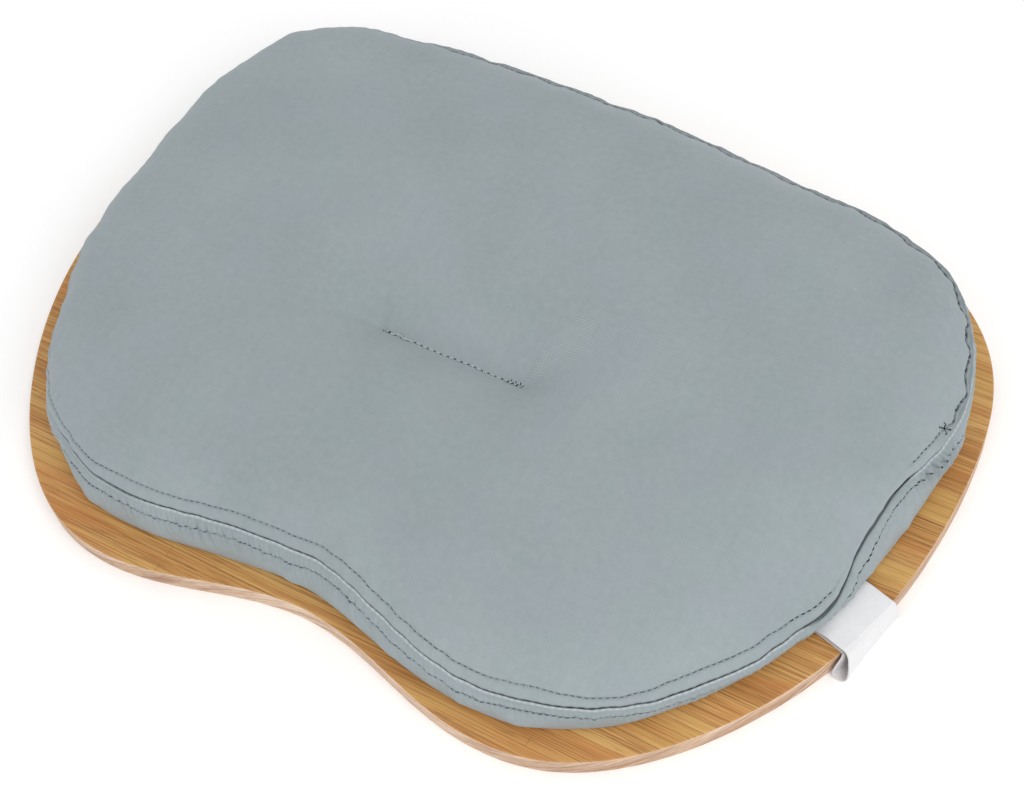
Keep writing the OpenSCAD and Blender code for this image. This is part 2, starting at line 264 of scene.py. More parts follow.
def cloth(name, base=(149, 159, 162), deep=(30, 38, 42), pitch=0.00042):
    """Fine plain weave. The attribute weave holds each point's place on the cloth in metres. The attribute shade holds
    painted shade where it is above zero (in seams, stitch grooves, pucker valleys and under the foot), towards the
    colour deep, and painted highlight where it is below zero.
    """
    m = Tree(name, rough=0.88, spec=0.18)
    uv = m.attr("weave", out=1)
    u, v, _ = m.parts(uv)
    wob = m.noise(m.vec("SCALE", uv), scale=1.0)
    k = math.pi / pitch
    drift = m.noise(uv, scale=900.0, detail=1.0)
    un = m.math("ADD", u, m.math("MULTIPLY", drift, 0.00006))
    vn = m.math("ADD", v, m.math("MULTIPLY", drift, -0.00006))
    su = m.math("SINE", m.math("MULTIPLY", un, k))
    sv = m.math("SINE", m.math("MULTIPLY", vn, k))
    weave = m.math("MULTIPLY", su, sv)
    warp = m.noise(m.join(m.math("MULTIPLY", u, 2300.0), m.math("MULTIPLY", v, 45.0)), detail=2.0)
    weft = m.noise(m.join(m.math("MULTIPLY", u, 45.0), m.math("MULTIPLY", v, 2300.0), 5.0), detail=2.0)
    blotch = m.noise(uv, scale=16.0, detail=2.0)
    fine = m.noise(uv, scale=260.0, detail=3.0, rough=0.6)
    slub = m.noise(uv, scale=330.0, detail=0.0)
    r, g, b = base
    lo, hi = lin(r - 13, g - 12, b - 12), lin(r + 12, g + 11, b + 11)
    f = m.math("ADD", m.math("MULTIPLY", weave, 0.12), m.math("MULTIPLY", m.math("ADD", warp, weft), 0.17))
    f = m.math("ADD", f, m.math("ADD", m.math("MULTIPLY", blotch, 0.34), m.math("MULTIPLY", fine, 0.32)))
    # two patches where the weave shows as fine lines
    bend = m.noise(uv, scale=38.0, detail=1.0)
    for cx, cy, wide, turn_by, k2 in ((0.064, 0.002, 0.042, -0.24, 0.00130), (0.070, -0.006, 0.040, 1.50, 0.00125), (-0.165, -0.052, 0.042, 2.1, 0.00135)):
        px = m.math("SUBTRACT", u, cx)
        py = m.math("SUBTRACT", v, cy)
        near2 = m.math("DIVIDE", m.math("ADD", m.math("MULTIPLY", px, px), m.math("MULTIPLY", py, py)), wide * wide)
        where = m.math("MULTIPLY", m.remap(near2, 0.25, 1.0, 1.0, 0.0), m.remap(m.noise(uv, scale=60.0, detail=1.0), 0.35, 0.6))
        q = m.math("ADD", m.math("MULTIPLY", u, math.cos(turn_by)), m.math("MULTIPLY", v, math.sin(turn_by)))
        q = m.math("ADD", q, m.math("MULTIPLY", bend, 0.006))
        lines = m.math("SINE", m.math("MULTIPLY", q, TAU / k2))
        f = m.math("ADD", f, m.math("MULTIPLY", m.math("MULTIPLY", lines, where), 0.16))
    colour = m.mix(m.remap(f, 0.26, 0.76), lo, hi)
    tint = m.noise(uv, scale=9.0, detail=1.0)
    colour = m.mix(m.math("MULTIPLY", m.remap(tint, 0.35, 0.65), 0.10), colour, lin(r - 6, g + 2, b - 4))
    cool = m.noise(uv, scale=21.0, detail=2.0, rough=0.6)
    colour = m.mix(m.math("MULTIPLY", m.remap(cool, 0.42, 0.66), 0.26), colour, lin(r + 3, g - 1, b + 6))
    colour = m.mix(m.math("MULTIPLY", m.remap(slub, 0.82, 0.88), 0.14), colour, lin(r + 34, g + 34, b + 34))
    # Shade above zero paints shade towards the deep colour; below zero it paints highlight towards a paler colour.
    tone = m.attr("shade")
    colour = m.mix(m.math("MAXIMUM", tone, 0.0), colour, lin(*deep))
    colour = m.mix(m.math("MAXIMUM", m.math("MULTIPLY", tone, -1.0), 0.0), colour, lin(r + 52, g + 50, b + 50))
    m.set("Base Color", colour)
    m.set("Sheen Weight", 0.22)
    m.set("Sheen Roughness", 0.45)
    m.set("Sheen Tint", (0.93, 0.96, 0.97, 1))
    one = m.bump(weave, 0.40, 0.00009)
    m.set("Normal", m.bump(m.math("ADD", m.math("MULTIPLY", fine, 0.7), m.math("MULTIPLY", m.math("ADD", warp, weft), 0.25)), 0.45, 0.00012, one))
    return m.mat


def thread(name, base, dark, twist=0.0009):
    """Twisted sewing thread: weave holds the length along the thread and the way round it."""
    m = Tree(name, rough=0.7, spec=0.3)
    u, v, _ = m.parts(m.attr("weave", out=1))
    ply = m.math("SINE", m.math("ADD", m.math("MULTIPLY", u, TAU / twist), m.math("MULTIPLY", v, TAU)))
    fuzz = m.noise(m.place(), scale=2600.0, detail=2.0)
    f = m.math("ADD", m.math("MULTIPLY", ply, 0.22), m.math("MULTIPLY", fuzz, 0.8))
    m.set("Base Color", m.mix(m.remap(f, 0.15, 0.75), lin(*dark), lin(*base)))
    m.set("Sheen Weight", 0.15)
    m.set("Normal", m.bump(f, 0.5, 0.00008))
    return m.mat


# Dark colours for the needle-hole discs: painted shade, standing for the shade in and around each needle hole.
def hole_shade_material(name="needle_hole_shade", lo=(12, 16, 18), hi=(34, 42, 46)):
    m = Tree(name, rough=0.95, spec=0.05)
    n = m.noise(m.place(), scale=900.0, detail=1.0)
    m.set("Base Color", m.mix(n, lin(*lo), lin(*hi)))
    return m.mat


def elastic():
    m = Tree("white_elastic", rough=0.62, spec=0.35)
    u, v, _ = m.parts(m.attr("weave", out=1))
    ribs = m.math("SINE", m.math("MULTIPLY", v, TAU / 0.00115))
    picks = m.math("SINE", m.math("MULTIPLY", u, TAU / 0.00075))
    cross = m.math("MULTIPLY", ribs, picks)
    fuzz = m.noise(m.join(m.math("MULTIPLY", u, 300.0), m.math("MULTIPLY", v, 1500.0)), detail=2.0)
    soil = m.noise(m.join(u, v), scale=90.0, detail=2.0)
    f = m.math("ADD", m.math("MULTIPLY", cross, 0.1), m.math("ADD", m.math("MULTIPLY", fuzz, 0.5), m.math("MULTIPLY", soil, 0.4)))
    colour = m.mix(m.remap(f, 0.2, 0.75), lin(226, 226, 228), lin(240, 240, 242))
    # Painted shade on the tape's underside, inner faces, edges and down-turned outer face, in a warm grey with a touch
    # of painted reflection from the wood.
    inside = m.attr("inside")
    colour = m.mix(m.math("MULTIPLY", inside, 0.7), colour, lin(186, 181, 181))
    m.set("Base Color", colour)
    m.set("Sheen Weight", 0.1)
    h = m.math("ADD", m.math("MULTIPLY", ribs, 0.5), m.math("MULTIPLY", cross, 0.35))
    m.set("Normal", m.bump(h, 0.22, 0.00010))
    return m.mat


def zinc():
    m = Tree("zinc_steel", rough=0.36, spec=0.5)
    x, y, z = m.parts(m.place())
    scratch = m.noise(m.join(m.math("MULTIPLY", x, 160.0), m.math("MULTIPLY", y, 2600.0), z), detail=3.0)
    bloom = m.noise(m.place(), scale=240.0, detail=2.0)
    m.set("Base Color", m.mix(bloom, (0.52, 0.53, 0.54, 1), (0.66, 0.67, 0.68, 1)))
    m.set("Metallic", 1.0)
    m.set("Roughness", m.remap(m.math("ADD", scratch, m.math("MULTIPLY", bloom, 0.5)), 0.5, 1.1, 0.26, 0.48))
    m.set("Normal", m.bump(scratch, 0.25, 0.00006))
    return m.mat


def hook_loop(name, dense, lo, hi):
    m = Tree(name, rough=0.92, spec=0.15)
    p = m.place()
    dots = m.node("ShaderNodeTexVoronoi", props={"feature": "F1", "distance": "EUCLIDEAN"}, Vector=p, Scale=dense)
    fuzz = m.noise(p, scale=1900.0, detail=3.0, rough=0.65)
    f = m.math("ADD", m.math("SUBTRACT", 0.8, dots), m.math("MULTIPLY", fuzz, 0.6))
    m.set("Base Color", m.mix(m.remap(f, 0.3, 1.1), lin(*lo), lin(*hi)))
    m.set("Sheen Weight", 0.3)
    m.set("Normal", m.bump(f, 0.9, 0.0005))
    return m.mat


def foam_mat():
    m = Tree("foam", rough=0.95, spec=0.1)
    p = m.place()
    cells = m.node("ShaderNodeTexVoronoi", props={"feature": "DISTANCE_TO_EDGE"}, Vector=p, Scale=900.0)
    n = m.noise(p, scale=40.0, detail=2.0)
    m.set("Base Color", m.mix(m.remap(cells, 0.0, 0.25), lin(196, 188, 160), lin(238, 232, 212)))
    m.set("Roughness", m.remap(n, 0.3, 0.7, 0.9, 1.0))
    m.set("Normal", m.bump(cells, 0.8, 0.0004))
    return m.mat


def wadding_mat():
    m = Tree("wadding", rough=0.95, spec=0.1)
    p = m.place()
    f = m.noise(p, scale=420.0, detail=4.0, rough=0.7, distortion=1.5)
    m.set("Base Color", m.mix(f, lin(222, 222, 218), lin(248, 248, 246)))
    m.set("Sheen Weight", 0.4)
    m.set("Normal", m.bump(f, 0.9, 0.0008))
    return m.mat


def floor_mat():
    m = Tree("floor", rough=0.85, spec=0.1)
    n = m.noise(m.place(), scale=3.0, detail=1.0)
    m.set("Base Color", m.mix(n, (0.96, 0.96, 0.96, 1), (0.975, 0.975, 0.975, 1)))
    m.set("Emission Color", (1.0, 1.0, 1.0, 1))
    m.set("Emission Strength", 0.07)
    return m.mat


MAT = {
    "face": bamboo_face(), "edge": bamboo_edge(), "cloth": cloth("cover_cloth"),
    "thread": thread("cover_thread", (168, 178, 181), (106, 118, 122)), "thread_light": thread("tuft_thread", (206, 213, 214), (128, 140, 144)),
    # The two needle-hole materials hold painted shade: a dark one and a softer one.
    "hole_shade": hole_shade_material(), "hole_shade_soft": hole_shade_material("needle_hole_shade_soft", (68, 80, 85), (102, 115, 119)), "elastic": elastic(), "zinc": zinc(),
    "hooks": hook_loop("hook_tape", 1500.0, (26, 28, 30), (74, 78, 82)), "loops": hook_loop("loop_tape", 900.0, (34, 36, 38), (92, 96, 100)),
    "foam": foam_mat(), "wadding": wadding_mat(), "floor": floor_mat(),
}


# ---------------------------------------------------------------- numbers shared with the CAD model, in millimetres
BOARD_T = 10.0
BASE_Z = 12.3
CROWN_Z = 56.0
TUFT_L = 74.0
TURN = math.radians(-2.2)
board_half = [[0, 168], [42, 166], [84, 160.8], [125, 152.5], [165, 139], [200, 115.8], [222, 81],
              [229.5, 39], [229, -3], [222.8, -45], [209, -85], [188, -121.5], [160, -153],
              [124, -174], [82.5, -176.8], [41.5, -166.8], [0, -159.8]]
base_half = [[0, 152.5], [41, 151.5], [82, 148.5], [122, 143.5], [160, 134], [191, 113], [210, 80],
             [217, 43], [215.5, 4], [210, -33], [199, -68], [181.5, -103], [155.5, -136.5],
             [120, -158], [81, -163.3], [40, -157], [0, -151]]


def whole(half):
    h = np.array(half, float)
    b = h[1:-1][::-1].copy()
    b[:, 0] *= -1
    return np.vstack([h, b])


def control(p):
    """Control points of the closed cubic B-spline through the points p."""
    p = np.asarray(p, float)
    p = p[:, None] if p.ndim == 1 else p
    c = p.copy()
    for _ in range(60):
        c = c + 1.2 * (p - (np.roll(c, 1, 0) + 4 * c + np.roll(c, -1, 0)) / 6)
    return c


def spline(c, u):
    n = len(c)
    i = np.floor(u).astype(int)
    t = (u - i)[:, None]
    a, b, d, e = c[(i - 1) % n], c[i % n], c[(i + 1) % n], c[(i + 2) % n]
    return ((1 - t) ** 3 * a + (3 * t ** 3 - 6 * t * t + 4) * b + (-3 * t ** 3 + 3 * t * t + 3 * t + 1) * d + t ** 3 * e) / 6


def outward(p):
    """Unit normal of a closed clockwise outline, pointing outwards."""
    d = np.roll(p, -1, 0) - np.roll(p, 1, 0)
    d /= np.linalg.norm(d, axis=1)[:, None]
    return np.column_stack([-d[:, 1], d[:, 0]])


def arclength(p):
    step = np.linalg.norm(np.roll(p, -1, 0) - p, axis=1)
    return np.concatenate([[0], np.cumsum(step)[:-1]]), step.sum()


board_ctrl = control(whole(board_half))
raw = spline(board_ctrl, np.arange(128) / 4)
Y_MID = (raw[:, 1].max() + raw[:, 1].min()) / 2
DISH = 19.6
HEART = np.array([0.9, -29.1 - Y_MID])


def placed(p):
    c, s = math.cos(TURN), math.sin(TURN)
    return np.column_stack([p[:, 0] * c - p[:, 1] * s, p[:, 0] * s + p[:, 1] * c - Y_MID])


def smooth(x, a, b):
    t = np.clip((x - a) / (b - a), 0, 1)
    return t * t * (3 - 2 * t)


def wave(s, total, lam, seed, spread=0.45, terms=10):
    """Smooth closed noise along an outline, about 1 high, with waves near lam long."""
    r = np.random.default_rng(seed)
    out = np.zeros_like(s)
    for _ in range(terms):
        k = max(1, round(total / lam * (1 + spread * r.uniform(-1, 1))))
        out += math.sqrt(2 / terms) * np.sin(TAU * k * s / total + r.uniform(0, TAU))
    return out


def field(x, y, lo, hi, seed, terms=26):
    """Smooth noise over a sheet, about 1 high, with waves from lo to hi long."""
    r = np.random.default_rng(seed)
    out = np.zeros_like(x)
    for _ in range(terms):
        lam = math.exp(r.uniform(math.log(lo), math.log(hi)))
        a = r.uniform(0, TAU)
        out += math.sqrt(2 / terms) * np.sin(TAU / lam * (x * math.cos(a) + y * math.sin(a)) + r.uniform(0, TAU))
    return out


# ---------------------------------------------------------------- mesh helpers
def stack(rings, closed=False, cap_first=False, cap_last=False):
    """Points and faces of rings joined in order. A ring may have twice or half as many points as the one before."""
    start = np.cumsum([0] + [len(r) for r in rings])
    faces = []
    pairs = [(i, i + 1) for i in range(len(rings) - 1)] + ([(len(rings) - 1, 0)] if closed else [])
    for i, j in pairs:
        a0, b0, na, nb = start[i], start[j], len(rings[i]), len(rings[j])
        if na == nb:
            k = np.arange(na)
            l = (k + 1) % na
            faces += np.column_stack([a0 + k, a0 + l, b0 + l, b0 + k]).tolist()
        elif na == 2 * nb:
            k = np.arange(nb)
            l = (k + 1) % nb
            p, q, r = 2 * k, 2 * k + 1, (2 * k + 2) % na
            faces += np.column_stack([a0 + p, a0 + q, b0 + k]).tolist()
            faces += np.column_stack([a0 + q, b0 + l, b0 + k]).tolist()
            faces += np.column_stack([a0 + q, a0 + r, b0 + l]).tolist()
        elif nb == 2 * na:
            k = np.arange(na)
            l = (k + 1) % na
            p, q, r = 2 * k, 2 * k + 1, (2 * k + 2) % nb
            faces += np.column_stack([a0 + k, b0 + q, b0 + p]).tolist()
            faces += np.column_stack([a0 + k, a0 + l, b0 + q]).tolist()
            faces += np.column_stack([a0 + l, b0 + r, b0 + q]).tolist()
        else:
            raise ValueError("rings must match, double or halve")
    if cap_first:
        faces.append(list(range(start[0], start[1])))
    if cap_last:
        faces.append(list(range(start[-2], start[-1])))
    return np.vstack(rings), faces


def make(name, points, faces, materials, attributes=None, index=None, outside=True, sharp=None):
    """A mesh object from points in millimetres."""
    me = bpy.data.meshes.new(name)
    me.from_pydata((np.asarray(points) * MM).tolist(), [], [list(map(int, f)) for f in faces])
    for m in materials:
        me.materials.append(m)
    if index is not None:
        me.polygons.foreach_set("material_index", np.asarray(index, np.int32))
    for key, values in (attributes or {}).items():
        values = np.asarray(values, np.float32)
        if values.ndim == 1:
            me.attributes.new(key, "FLOAT", "POINT").data.foreach_set("value", values)
        else:
            me.attributes.new(key, "FLOAT_VECTOR", "POINT").data.foreach_set("vector", values.reshape(-1))
    if outside:
        bm = bmesh.new()
        bm.from_mesh(me)
        bmesh.ops.recalc_face_normals(bm, faces=bm.faces)
        bm.to_mesh(me)
        bm.free()
    me.polygons.foreach_set("use_smooth", np.ones(len(me.polygons), bool))
    if sharp:
        me.set_sharp_from_angle(angle=math.radians(sharp))
    me.validate()
    me.update()
    o = bpy.data.objects.new(name, me)
    scene.collection.objects.link(o)
    return o


def settle(o):
    """Apply an object's modifiers."""
    dg = bpy.context.evaluated_depsgraph_get()
    me = bpy.data.meshes.new_from_object(o.evaluated_get(dg), preserve_all_data_layers=True, depsgraph=dg)
    o.modifiers.clear()
    old = o.data
    o.data = me
    me.name = old.name
    bpy.data.meshes.remove(old)
    return o


def box_mesh(x0, x1, y0, y1, z0, z1):
    p = [(x, y, z) for z in (z0, z1) for y in (y0, y1) for x in (x0, x1)]
    f = [(0, 2, 3, 1), (4, 5, 7, 6), (0, 1, 5, 4), (2, 6, 7, 3), (0, 4, 6, 2), (1, 3, 7, 5)]
    return np.array(p, float), f


# The strap's own frame: U outwards, V along the rim
STRAP_AT = np.array([219.2, -58.3 - Y_MID])
SU = np.array([math.cos(math.radians(-16.4)), math.sin(math.radians(-16.4))])
SV = np.array([-SU[1], SU[0]])


def from_strap(u, v, z):
    u, v, z = np.broadcast_arrays(np.asarray(u, float), np.asarray(v, float), np.asarray(z, float))
    return np.stack([STRAP_AT[0] + u * SU[0] + v * SV[0], STRAP_AT[1] + u * SU[1] + v * SV[1], z], -1)


def cut_by(o, cutters):
    for c in cutters:
        mod = o.modifiers.new("cut", "BOOLEAN")
        mod.operation = "DIFFERENCE"
        mod.solver = "EXACT"
        mod.object = c
    settle(o)
    for c in cutters:
        bpy.data.objects.remove(c)
    return o


# ---------------------------------------------------------------- the board
def board():
    n = 32 * 20
    line = spline(board_ctrl, np.arange(n) / 20)
    line[:, 1] -= Y_MID
    nrm = outward(line)
    along, _ = arclength(line)
    r = 0.4
    # Each ring: inset, height, and rim, the weight of the painted highlight that the arrises and the bands beside them
    # get.
    prof = [(2.6, 0.0, 0.0), (1.6, 0.0, 0.0)]
    prof += [(r * (1 - math.sin(a)), r * (1 - math.cos(a)), 0.8) for a in np.radians([0, 18, 36, 54, 72, 90])]
    prof += [(0, 1.2, 0.1), (0, 5.0, 0), (0, 8.8, 0.1)]
    prof += [(r * (1 - math.cos(a)), BOARD_T - r * (1 - math.sin(a)), 1.0) for a in np.radians([0, 18, 36, 54, 72, 90])]
    prof += [(1.2, BOARD_T, 0.1), (2.2, BOARD_T, 0.0)]
    rings, rim, run = [], [], []
    for inset, z, k in prof:
        q = line - nrm * inset
        rings.append(np.column_stack([q, np.full(n, z)]))
        rim.append(np.full(n, k))
        run.append(0.01 + along * MM)
    pts, faces = stack(rings, cap_first=True, cap_last=True)
    o = make("tray_board_bamboo", pts, faces, [MAT["face"], MAT["edge"]],
             {"rim": np.concatenate(rim), "along": np.concatenate(run)})
    # pocket, ramp and pilot holes under the cushion
    floor = BOARD_T - 3.2
    cutters = []
    p, f = box_mesh(-40, -22, -27, 27, floor, BOARD_T + 5)
    cutters.append(make("cut_pocket", from_strap(p[:, 0], p[:, 1], p[:, 2]), f, []))
    side = [(-22.5, floor), (-21.5, floor), (-8.5, floor + 4.8), (-22.5, floor + 4.8)]
    rp = np.array([(u, v, z) for v in (-17.5, 17.5) for u, z in side])
    rf = [(0, 1, 2, 3), (7, 6, 5, 4), (0, 4, 5, 1), (1, 5, 6, 2), (2, 6, 7, 3), (3, 7, 4, 0)]
    cutters.append(make("cut_ramp", from_strap(rp[:, 0], rp[:, 1], rp[:, 2]), rf, []))
    for s in (-1, 1):
        a = np.arange(32) / 32 * TAU
        ring = lambda z: from_strap(-31 + 1.5 * np.cos(a), s * 20 + 1.5 * np.sin(a), np.full(32, z))
        hp, hf = stack([ring(floor - 5), ring(floor + 1)], cap_first=True, cap_last=True)
        cutters.append(make("cut_hole", hp, hf, []))
    cut_by(o, cutters)
    me = o.data
    mark = np.empty(len(me.vertices), np.float32)
    me.attributes["along"].data.foreach_get("value", mark)
    idx = [1 if abs(p.normal.z) < 0.86 and min(mark[v] for v in p.vertices) > 0.005 else 0 for p in me.polygons]
    me.polygons.foreach_set("material_index", np.array(idx, np.int32))
    me.polygons.foreach_set("use_smooth", np.ones(len(me.polygons), bool))
    me.set_sharp_from_angle(angle=math.radians(34))
    me.update()
    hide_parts("tray_board")
    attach(o, "tray")
    return o


board()

# ---------------------------------------------------------------- the cushion's outlines
# By station, clockwise from the middle of the back: how far inside the base outline the seam runs, its height,
# the height of the top panel's rim, the angle at which the top panel leaves the seam, and how far that lead runs
SHAPE = [(2.4, 33.6, 43.0, 38, 7), (2.4, 32.2, 42.0, 38, 7), (2.4, 30.6, 41.0, 38, 7), (2.4, 33.4, 43.0, 38, 7),
         (2.4, 35.6, 45.5, 42, 7), (1.6, 36.2, 47.0, 54, 8), (1.0, 34.5, 48.0, 66, 8), (0.6, 33.5, 48.0, 74, 8),
         (6.0, 39.0, 49.5, 84, 6), (4.0, 37.5, 48.0, 94, 6), (-1.5, 26.0, 42.0, 74, 8), (-1.5, 23.5, 38.0, 50, 8),
         (0.8, 25.0, 39.0, 46, 8), (2.8, 28.0, 42.0, 46, 8), (3.2, 30.0, 44.0, 48, 8), (4.6, 36.5, 48.0, 50, 7),
         (4.0, 37.0, 48.0, 50, 7), (4.0, 37.0, 48.0, 50, 7), (3.5, 36.0, 48.0, 56, 8), (2.4, 35.0, 48.5, 74, 9),
         (1.0, 34.0, 48.5, 86, 10), (1.8, 31.5, 46.5, 88, 10), (2.4, 31.5, 46.0, 88, 10), (2.0, 30.0, 44.8, 88, 10),
         (0.4, 26.0, 41.5, 88, 9), (1.6, 29.6, 44.8, 88, 9), (2.2, 34.5, 48.5, 86, 10), (2.2, 40.5, 52.5, 80, 11),
         (2.2, 41.0, 52.0, 66, 10), (2.4, 39.4, 48.0, 44, 8), (2.4, 37.6, 46.4, 38, 7), (2.4, 34.9, 44.2, 38, 7)]
# Where the stitching beside the back seam is pulled out to the edge, by station
TOUCH = [29.2, 29.85, 30.55, 30.97, 31.62, 32.26, 32.94, 33.6, 34.3, 35.09, 35.62, 36.4, 36.85, 37.45, 37.95, 38.5, 38.95, 39.5]

N = 2048
U = np.arange(N) / N * 32
UU = np.where(U < 20, U + 32, U)
base_ctrl = control(whole(base_half))
BASE = placed(spline(base_ctrl, U))
NB = outward(BASE)
BASE_S, BASE_L = arclength(BASE)
shape = spline(control(np.array(SHAPE, float)), U)
near = lambda at, width: np.exp(-(((U - at + 16) % 32 - 16) / width) ** 2)
LENS = np.zeros(N)
for a, b in zip(TOUCH[:-1], TOUCH[1:]):
    t = (UU - a) / (b - a)
    hit = (t >= 0) & (t <= 1)
    LENS[hit] = (np.sin(np.pi * t[hit]) ** 0.75) * min(1.0, 0.4 + 0.8 * (b - a))
blur = np.exp(-0.5 * (np.arange(-9, 10) / 2.6) ** 2)
blur /= blur.sum()
LENS = sum(w * np.roll(LENS, k) for w, k in zip(blur, range(-9, 10)))
BACK = smooth(UU, 28.4, 29.9) * (1 - smooth(UU, 38.7, 39.6))
INSET = shape[:, 0] - 2.6 * near(9.55, 0.42) - 1.0 * near(25.4, 0.28) + 0.30 * wave(BASE_S, BASE_L, 52, 11) + 0.10 * wave(BASE_S, BASE_L, 14, 12)
ZSEAM = shape[:, 1] - 3.4 * near(9.55, 0.42) + 1.2 * near(25.4, 0.28) + 0.40 * wave(BASE_S, BASE_L, 60, 13) + 0.12 * wave(BASE_S, BASE_L, 17, 14)
ZRIM = shape[:, 2]
FOLD = smooth(U, 7.72, 7.95) * (1 - smooth(U, 9.25, 9.6))         # where the top panel bulges over its stitching
DEEP = smooth(U, 7.72, 7.95) * (1 - smooth(U, 9.7, 10.2))
# NIP and LEFT mark where painted shade darkens the seam, NIP as a dark groove, LEFT on the left side, where the band's
# painted highlight also gives way.
NIP = smooth(U, 8.0, 8.3) * (1 - smooth(U, 9.7, 10.1))             # where the seam is a dark groove
LEFT = smooth(U, 17.6, 18.2) * (1 - smooth(U, 20.8, 21.6))
GAP = 0.30 + 1.9 * DEEP + 0.40 * smooth(U, 9.5, 10.5) * (1 - smooth(U, 19.5, 20.5)) + 0.25 * smooth(U, 9.5, 10.5) * (1 - smooth(U, 13, 14))
SXY = BASE - NB * INSET[:, None]
D = SXY - HEART
D /= np.linalg.norm(D, axis=1)[:, None]
SLIT = HEART + D * np.array([TUFT_L / 2 + 0.6, 0.28])
RIM_IN = 30.0
INNER = BASE - NB * RIM_IN
SPAN = np.linalg.norm(SLIT - INNER, axis=1)
REACH = SPAN + RIM_IN
# how strongly the band puckers, by station
PUCK = spline(control(np.array([3, 3, 3, 3, 3, 3, 4, 5, 6, 5, 5, 6, 7, 7, 6, 7, 10, 12, 11, 6, 4, 4, 3, 3, 3, 3, 3, 3, 3, 3, 3, 3], float) / 10), U)[:, 0]
PUCK = PUCK * 1.7 + 6.5 * near(7.45, 0.30)
PUSH = 1.3 * smooth(U, 8.9, 9.5) * (1 - smooth(U, 10.9, 11.7)) + 2.0 * near(18.75, 0.45) - 1.1 * near(17.3, 0.5) + 0.9 * near(13.05, 0.4) + 0.6 * near(12.1, 0.4)      # foot of the band, mm outwards


def tuft(q):
    """How deep the tuft pulls the cover down at the points q."""
    dx = np.maximum(0, np.abs(q[:, 0] - HEART[0]) - TUFT_L / 2)
    g = np.hypot(dx, q[:, 1] - HEART[1])
    return (DISH - 7.6) * np.exp(-(g / 38) ** 1.18) + 7.6 * np.exp(-(g / 15) ** 1.2)


def crown(zr, s, q):
    return CROWN_Z - (CROWN_Z - zr) * (1 - s) ** 3.0 - tuft(q) * smooth(s, 0.05, 0.4)


def folds(q):
    """Soft creases that run out from the two ends of the tuft, and slow waves of the cloth."""
    out = np.zeros(len(q))
    for side, seed in ((-1, 3), (1, 4)):
        end = HEART + np.array([side * TUFT_L / 2, 0])
        d = q - end
        rr = np.hypot(d[:, 0], d[:, 1]) + 1e-6
        an = np.arctan2(d[:, 1], d[:, 0])
        fall = (rr / 16) * np.exp(1 - rr / 16)
        out += 0.34 * fall * (np.sin(3 * an + seed) + 0.6 * np.sin(5 * an + 2 * seed) + 0.35 * np.sin(8 * an + seed))
    out += 0.30 * field(q[:, 0], q[:, 1], 38, 110, 21) + 0.06 * field(q[:, 0], q[:, 1], 12, 30, 22)
    return out


def along(curve, run, w):
    """Points and directions w mm along each column's curve."""
    w = np.clip(w, 0, run[:, -1])
    r = np.arange(len(w))
    k = np.clip((run < w[:, None]).sum(1) - 1, 0, curve.shape[1] - 2)
    a, b = curve[r, k], curve[r, k + 1]
    f = (w - run[r, k]) / np.maximum(run[r, k + 1] - run[r, k], 1e-9)
    d = b - a
    d /= np.maximum(np.linalg.norm(d, axis=1), 1e-9)[:, None]
    return a + (b - a) * f[:, None], d


def bezier(points, count):
    t = np.linspace(0, 1, count)[None, :, None]
    c = [p[:, None, :] for p in points]
    curve = (1 - t) ** 3 * c[0] + 3 * t * (1 - t) ** 2 * c[1] + 3 * t * t * (1 - t) * c[2] + t ** 3 * c[3]
    step = np.linalg.norm(np.diff(curve, axis=1), axis=2)
    return curve, np.concatenate([np.zeros((len(curve), 1)), np.cumsum(step, 1)], 1)


def shoulder():
    """The top panel's side view from the seam to 30 mm inside, at every column: offset from the base outline, and height."""
    s = RIM_IN / REACH
    z3, z3b = crown(ZRIM, s, INNER), crown(ZRIM, s + 0.01, INNER - NB * 0.01 * REACH[:, None])
    slope = (z3b - z3) / (0.01 * REACH)
    ang = np.radians(shape[:, 3])
    p0 = np.column_stack([-INSET, ZSEAM])
    p1 = p0 + np.column_stack([-np.cos(ang), np.sin(ang)]) * shape[:, 4:5]
    p3 = np.column_stack([np.full(N, -RIM_IN), z3])
    p2 = p3 + np.column_stack([np.ones(N), -slope]) * 15.0
    return bezier((p0, p1, p2, p3), 96)


EDGE, EDGE_RUN = shoulder()
UP_W = 6.0 + BACK * (LENS * 5.0 - 4.6) + 0.3 * wave(BASE_S, BASE_L, 75, 41)     # upper topstitch, mm from the seam
UP_W = UP_W - 1.2 * near(8.9, 0.8) - 1.6 * near(12.2, 0.7)
UP_W = np.maximum(UP_W, 1.3)
PITCH = 2.9
HOLES = 0.5 + 0.5 * np.cos(TAU * BASE_S / PITCH)
# DASH breaks the painted shade along the back stitch line into dashes.
DASH = np.clip(1.3 * np.sin(TAU * BASE_S / 5.2 + 2.2 * wave(BASE_S, BASE_L, 24, 44)), -1, 1)


def edge_push(w):
    """Raised strip, stitch groove and gathers of the top panel, w mm from the seam."""
    rel = w / UP_W
    ss = BASE_S
    out = (0.42 + BACK * (0.1 + 0.7 * LENS)) * np.clip(1 - (rel - 0.5) ** 2 / 0.25, 0, 1) * smooth(w, 0.2, 1.2)
    out = out - (0.36 + 0.2 * HOLES + 0.35 * BACK) * (1 - FOLD) * np.exp(-((w - UP_W) / 0.6) ** 2)
    a = np.sin(TAU * ss / 3.1 + 1.6 * wave(ss, BASE_L, 40, 31))
    out = out + 0.045 * a * np.exp(-((w - 3.2) / 2.6) ** 2)
    out = out + 0.12 * wave(ss, BASE_L, 9, 32) * np.exp(-((w - 5.0) / 4.5) ** 2)
    out = out + (0.2 + 0.12 * BACK) * wave(ss, BASE_L, 27, 33) * np.exp(-((w - 10) / 7.0) ** 2)
    return out


